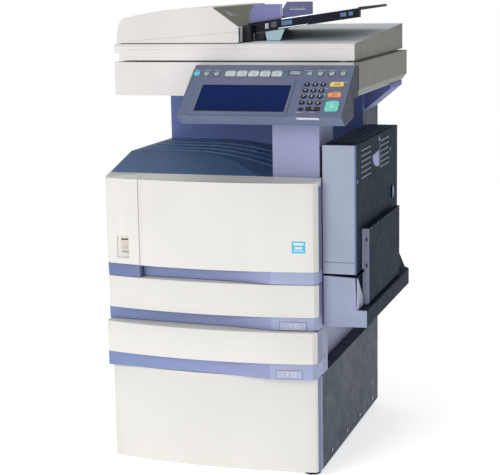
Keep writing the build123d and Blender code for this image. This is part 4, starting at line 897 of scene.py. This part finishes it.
# ---------------------------------------------------------------- side unit details
SLOT_GROUPS = ((56.0, 162.0), (261.0, 364.0))      # y of the louvre slots' ends
SLOT_TOP, SLOT_PITCH, SLOTS = 779.0, 13.0, 6
KNOB_Y, KNOB_Z, KNOB_WIDE, KNOB_HIGH, KNOB_STEPS = 384.7, 634.0, 13.5, 15.5, 20
LATCH_Y, LATCH_Z, LATCH_WIDE, LATCH_HIGH, LATCH_STEPS = 252.4, 750.0, 75.0, 31.5, 12
CLIP_PLACES, CLIP_WIDE = (74.0, 150.0, 262.0, 372.0), 16.0
HAND_FEED_FACE = 629.0               # x of the folded hand-feed tray's face
FRAME_SIDE = 526.0                   # x of the bare frame behind the side unit


def arc(steps, sweep):
    """Turns from 0 to sweep in even steps."""
    return [sweep * step / steps for step in range(steps + 1)]


def side_pieces():
    """Fins, latch, knob, seams, clips and covers of the side unit and the hand-feed tray."""
    rows = [SLOT_TOP - SLOT_PITCH * n for n in range(SLOTS)]
    fins = [box_outline(y0 + 0.5, y1 - 0.5, z - 1.5, z + 0.6) for y0, y1 in SLOT_GROUPS for z in rows]
    slabs("side_slot_fins", fins, SIDE, -2.4, -0.6, "fin", "side_unit", 0.1)
    slabs("latch_edge", [box_outline(251.6, 254.2, 718.0, 777.0)], SIDE, SUNK, 0.5, "ink_grey", "side_unit",
          0.1)
    slabs("latch_square", [box_outline(243.0, 253.0, 781.0, 790.0, 1.2)], SIDE, SUNK, 0.6, "latch",
          "side_unit")
    domes("side_dots", [(18.0, 712.0, 3.0, 5.0), (374.0, 745.0, 2.6, 4.0)], SIDE, SUNK, 1.0, "latch",
          "side_unit")
    knob = [(KNOB_Y + 0.4 + KNOB_WIDE * math.sin(t), KNOB_Z + KNOB_HIGH * math.cos(t))
            for t in arc(KNOB_STEPS, math.pi)[::-1]]
    slabs("knob_face", [knob], SIDE, 3.9, 4.4, "latch", "side_unit", 0.1)
    slabs("side_front_seam", [box_outline(534.0, 608.0, 522.6, 524.4)], front_plane(0.0), SUNK, 0.15,
          "ink_seam_blue", "side_unit", 0.0)
    clips = [box_outline(y, y + CLIP_WIDE, 592.0, 595.0, 0.8) for y in CLIP_PLACES]
    slabs("bypass_clips", clips, right_plane(HAND_FEED_FACE), -9.0, 0.6, "cassette", "hand_feed_tray")
    domes("bypass_dots", [(623.5, z, 2.0, 5.5) for z in (569.0, 507.0)], front_plane(60.0), SUNK, 0.8,
          "ink_dark", "hand_feed_tray")
    cheek = [(3.0, 412.0), (57.0, 412.0), (57.0, 430.0), (3.0, 487.0)]
    slabs("side_cheek", [cheek], SIDE, 1.4, 4.2, "lavender_light", "side_unit", 0.5)
    posts = [box_outline(612.3, 616.6, 497.5, 594.0), box_outline(613.4, 616.6, 432.0, 489.5)]
    slabs("bypass_frame", posts, front_plane(64.0), 0.0, 3.5, "lavender_light", "side_unit",
          0.3)
    slabs("rear_side_cover", [box_outline(464.0, 585.0, 368.0, 699.0, 1.5)],
          right_plane(FRAME_SIDE), 0.2, 3.4, "slate", "main_unit", 0.8)
    curve = [(LATCH_Y - LATCH_WIDE * math.sin(t), LATCH_Z - LATCH_HIGH * math.cos(t))
             for t in arc(LATCH_STEPS, math.pi / 2)]
    slabs("latch_face", [[*curve, (178.0, 752.0), (LATCH_Y, 758.0)]], SIDE, -2.7, -1.2, "latch",
          "side_latch", 0.2)
    shade = [(178.6, 752.8), (LATCH_Y, 759.0), (LATCH_Y, 776.6), (236.0, 774.0), (200.0, 762.0)]
    slabs("latch_shade", [shade], SIDE, -2.7, -1.2, "slate", "side_latch", 0.2)


make_camera()
make_stage()
MATERIALS = finishes()
for node_name in NODES:
    finish_node(node_name, MATERIALS)
console_pieces()
front_pieces()
feeder_pieces()
side_pieces()
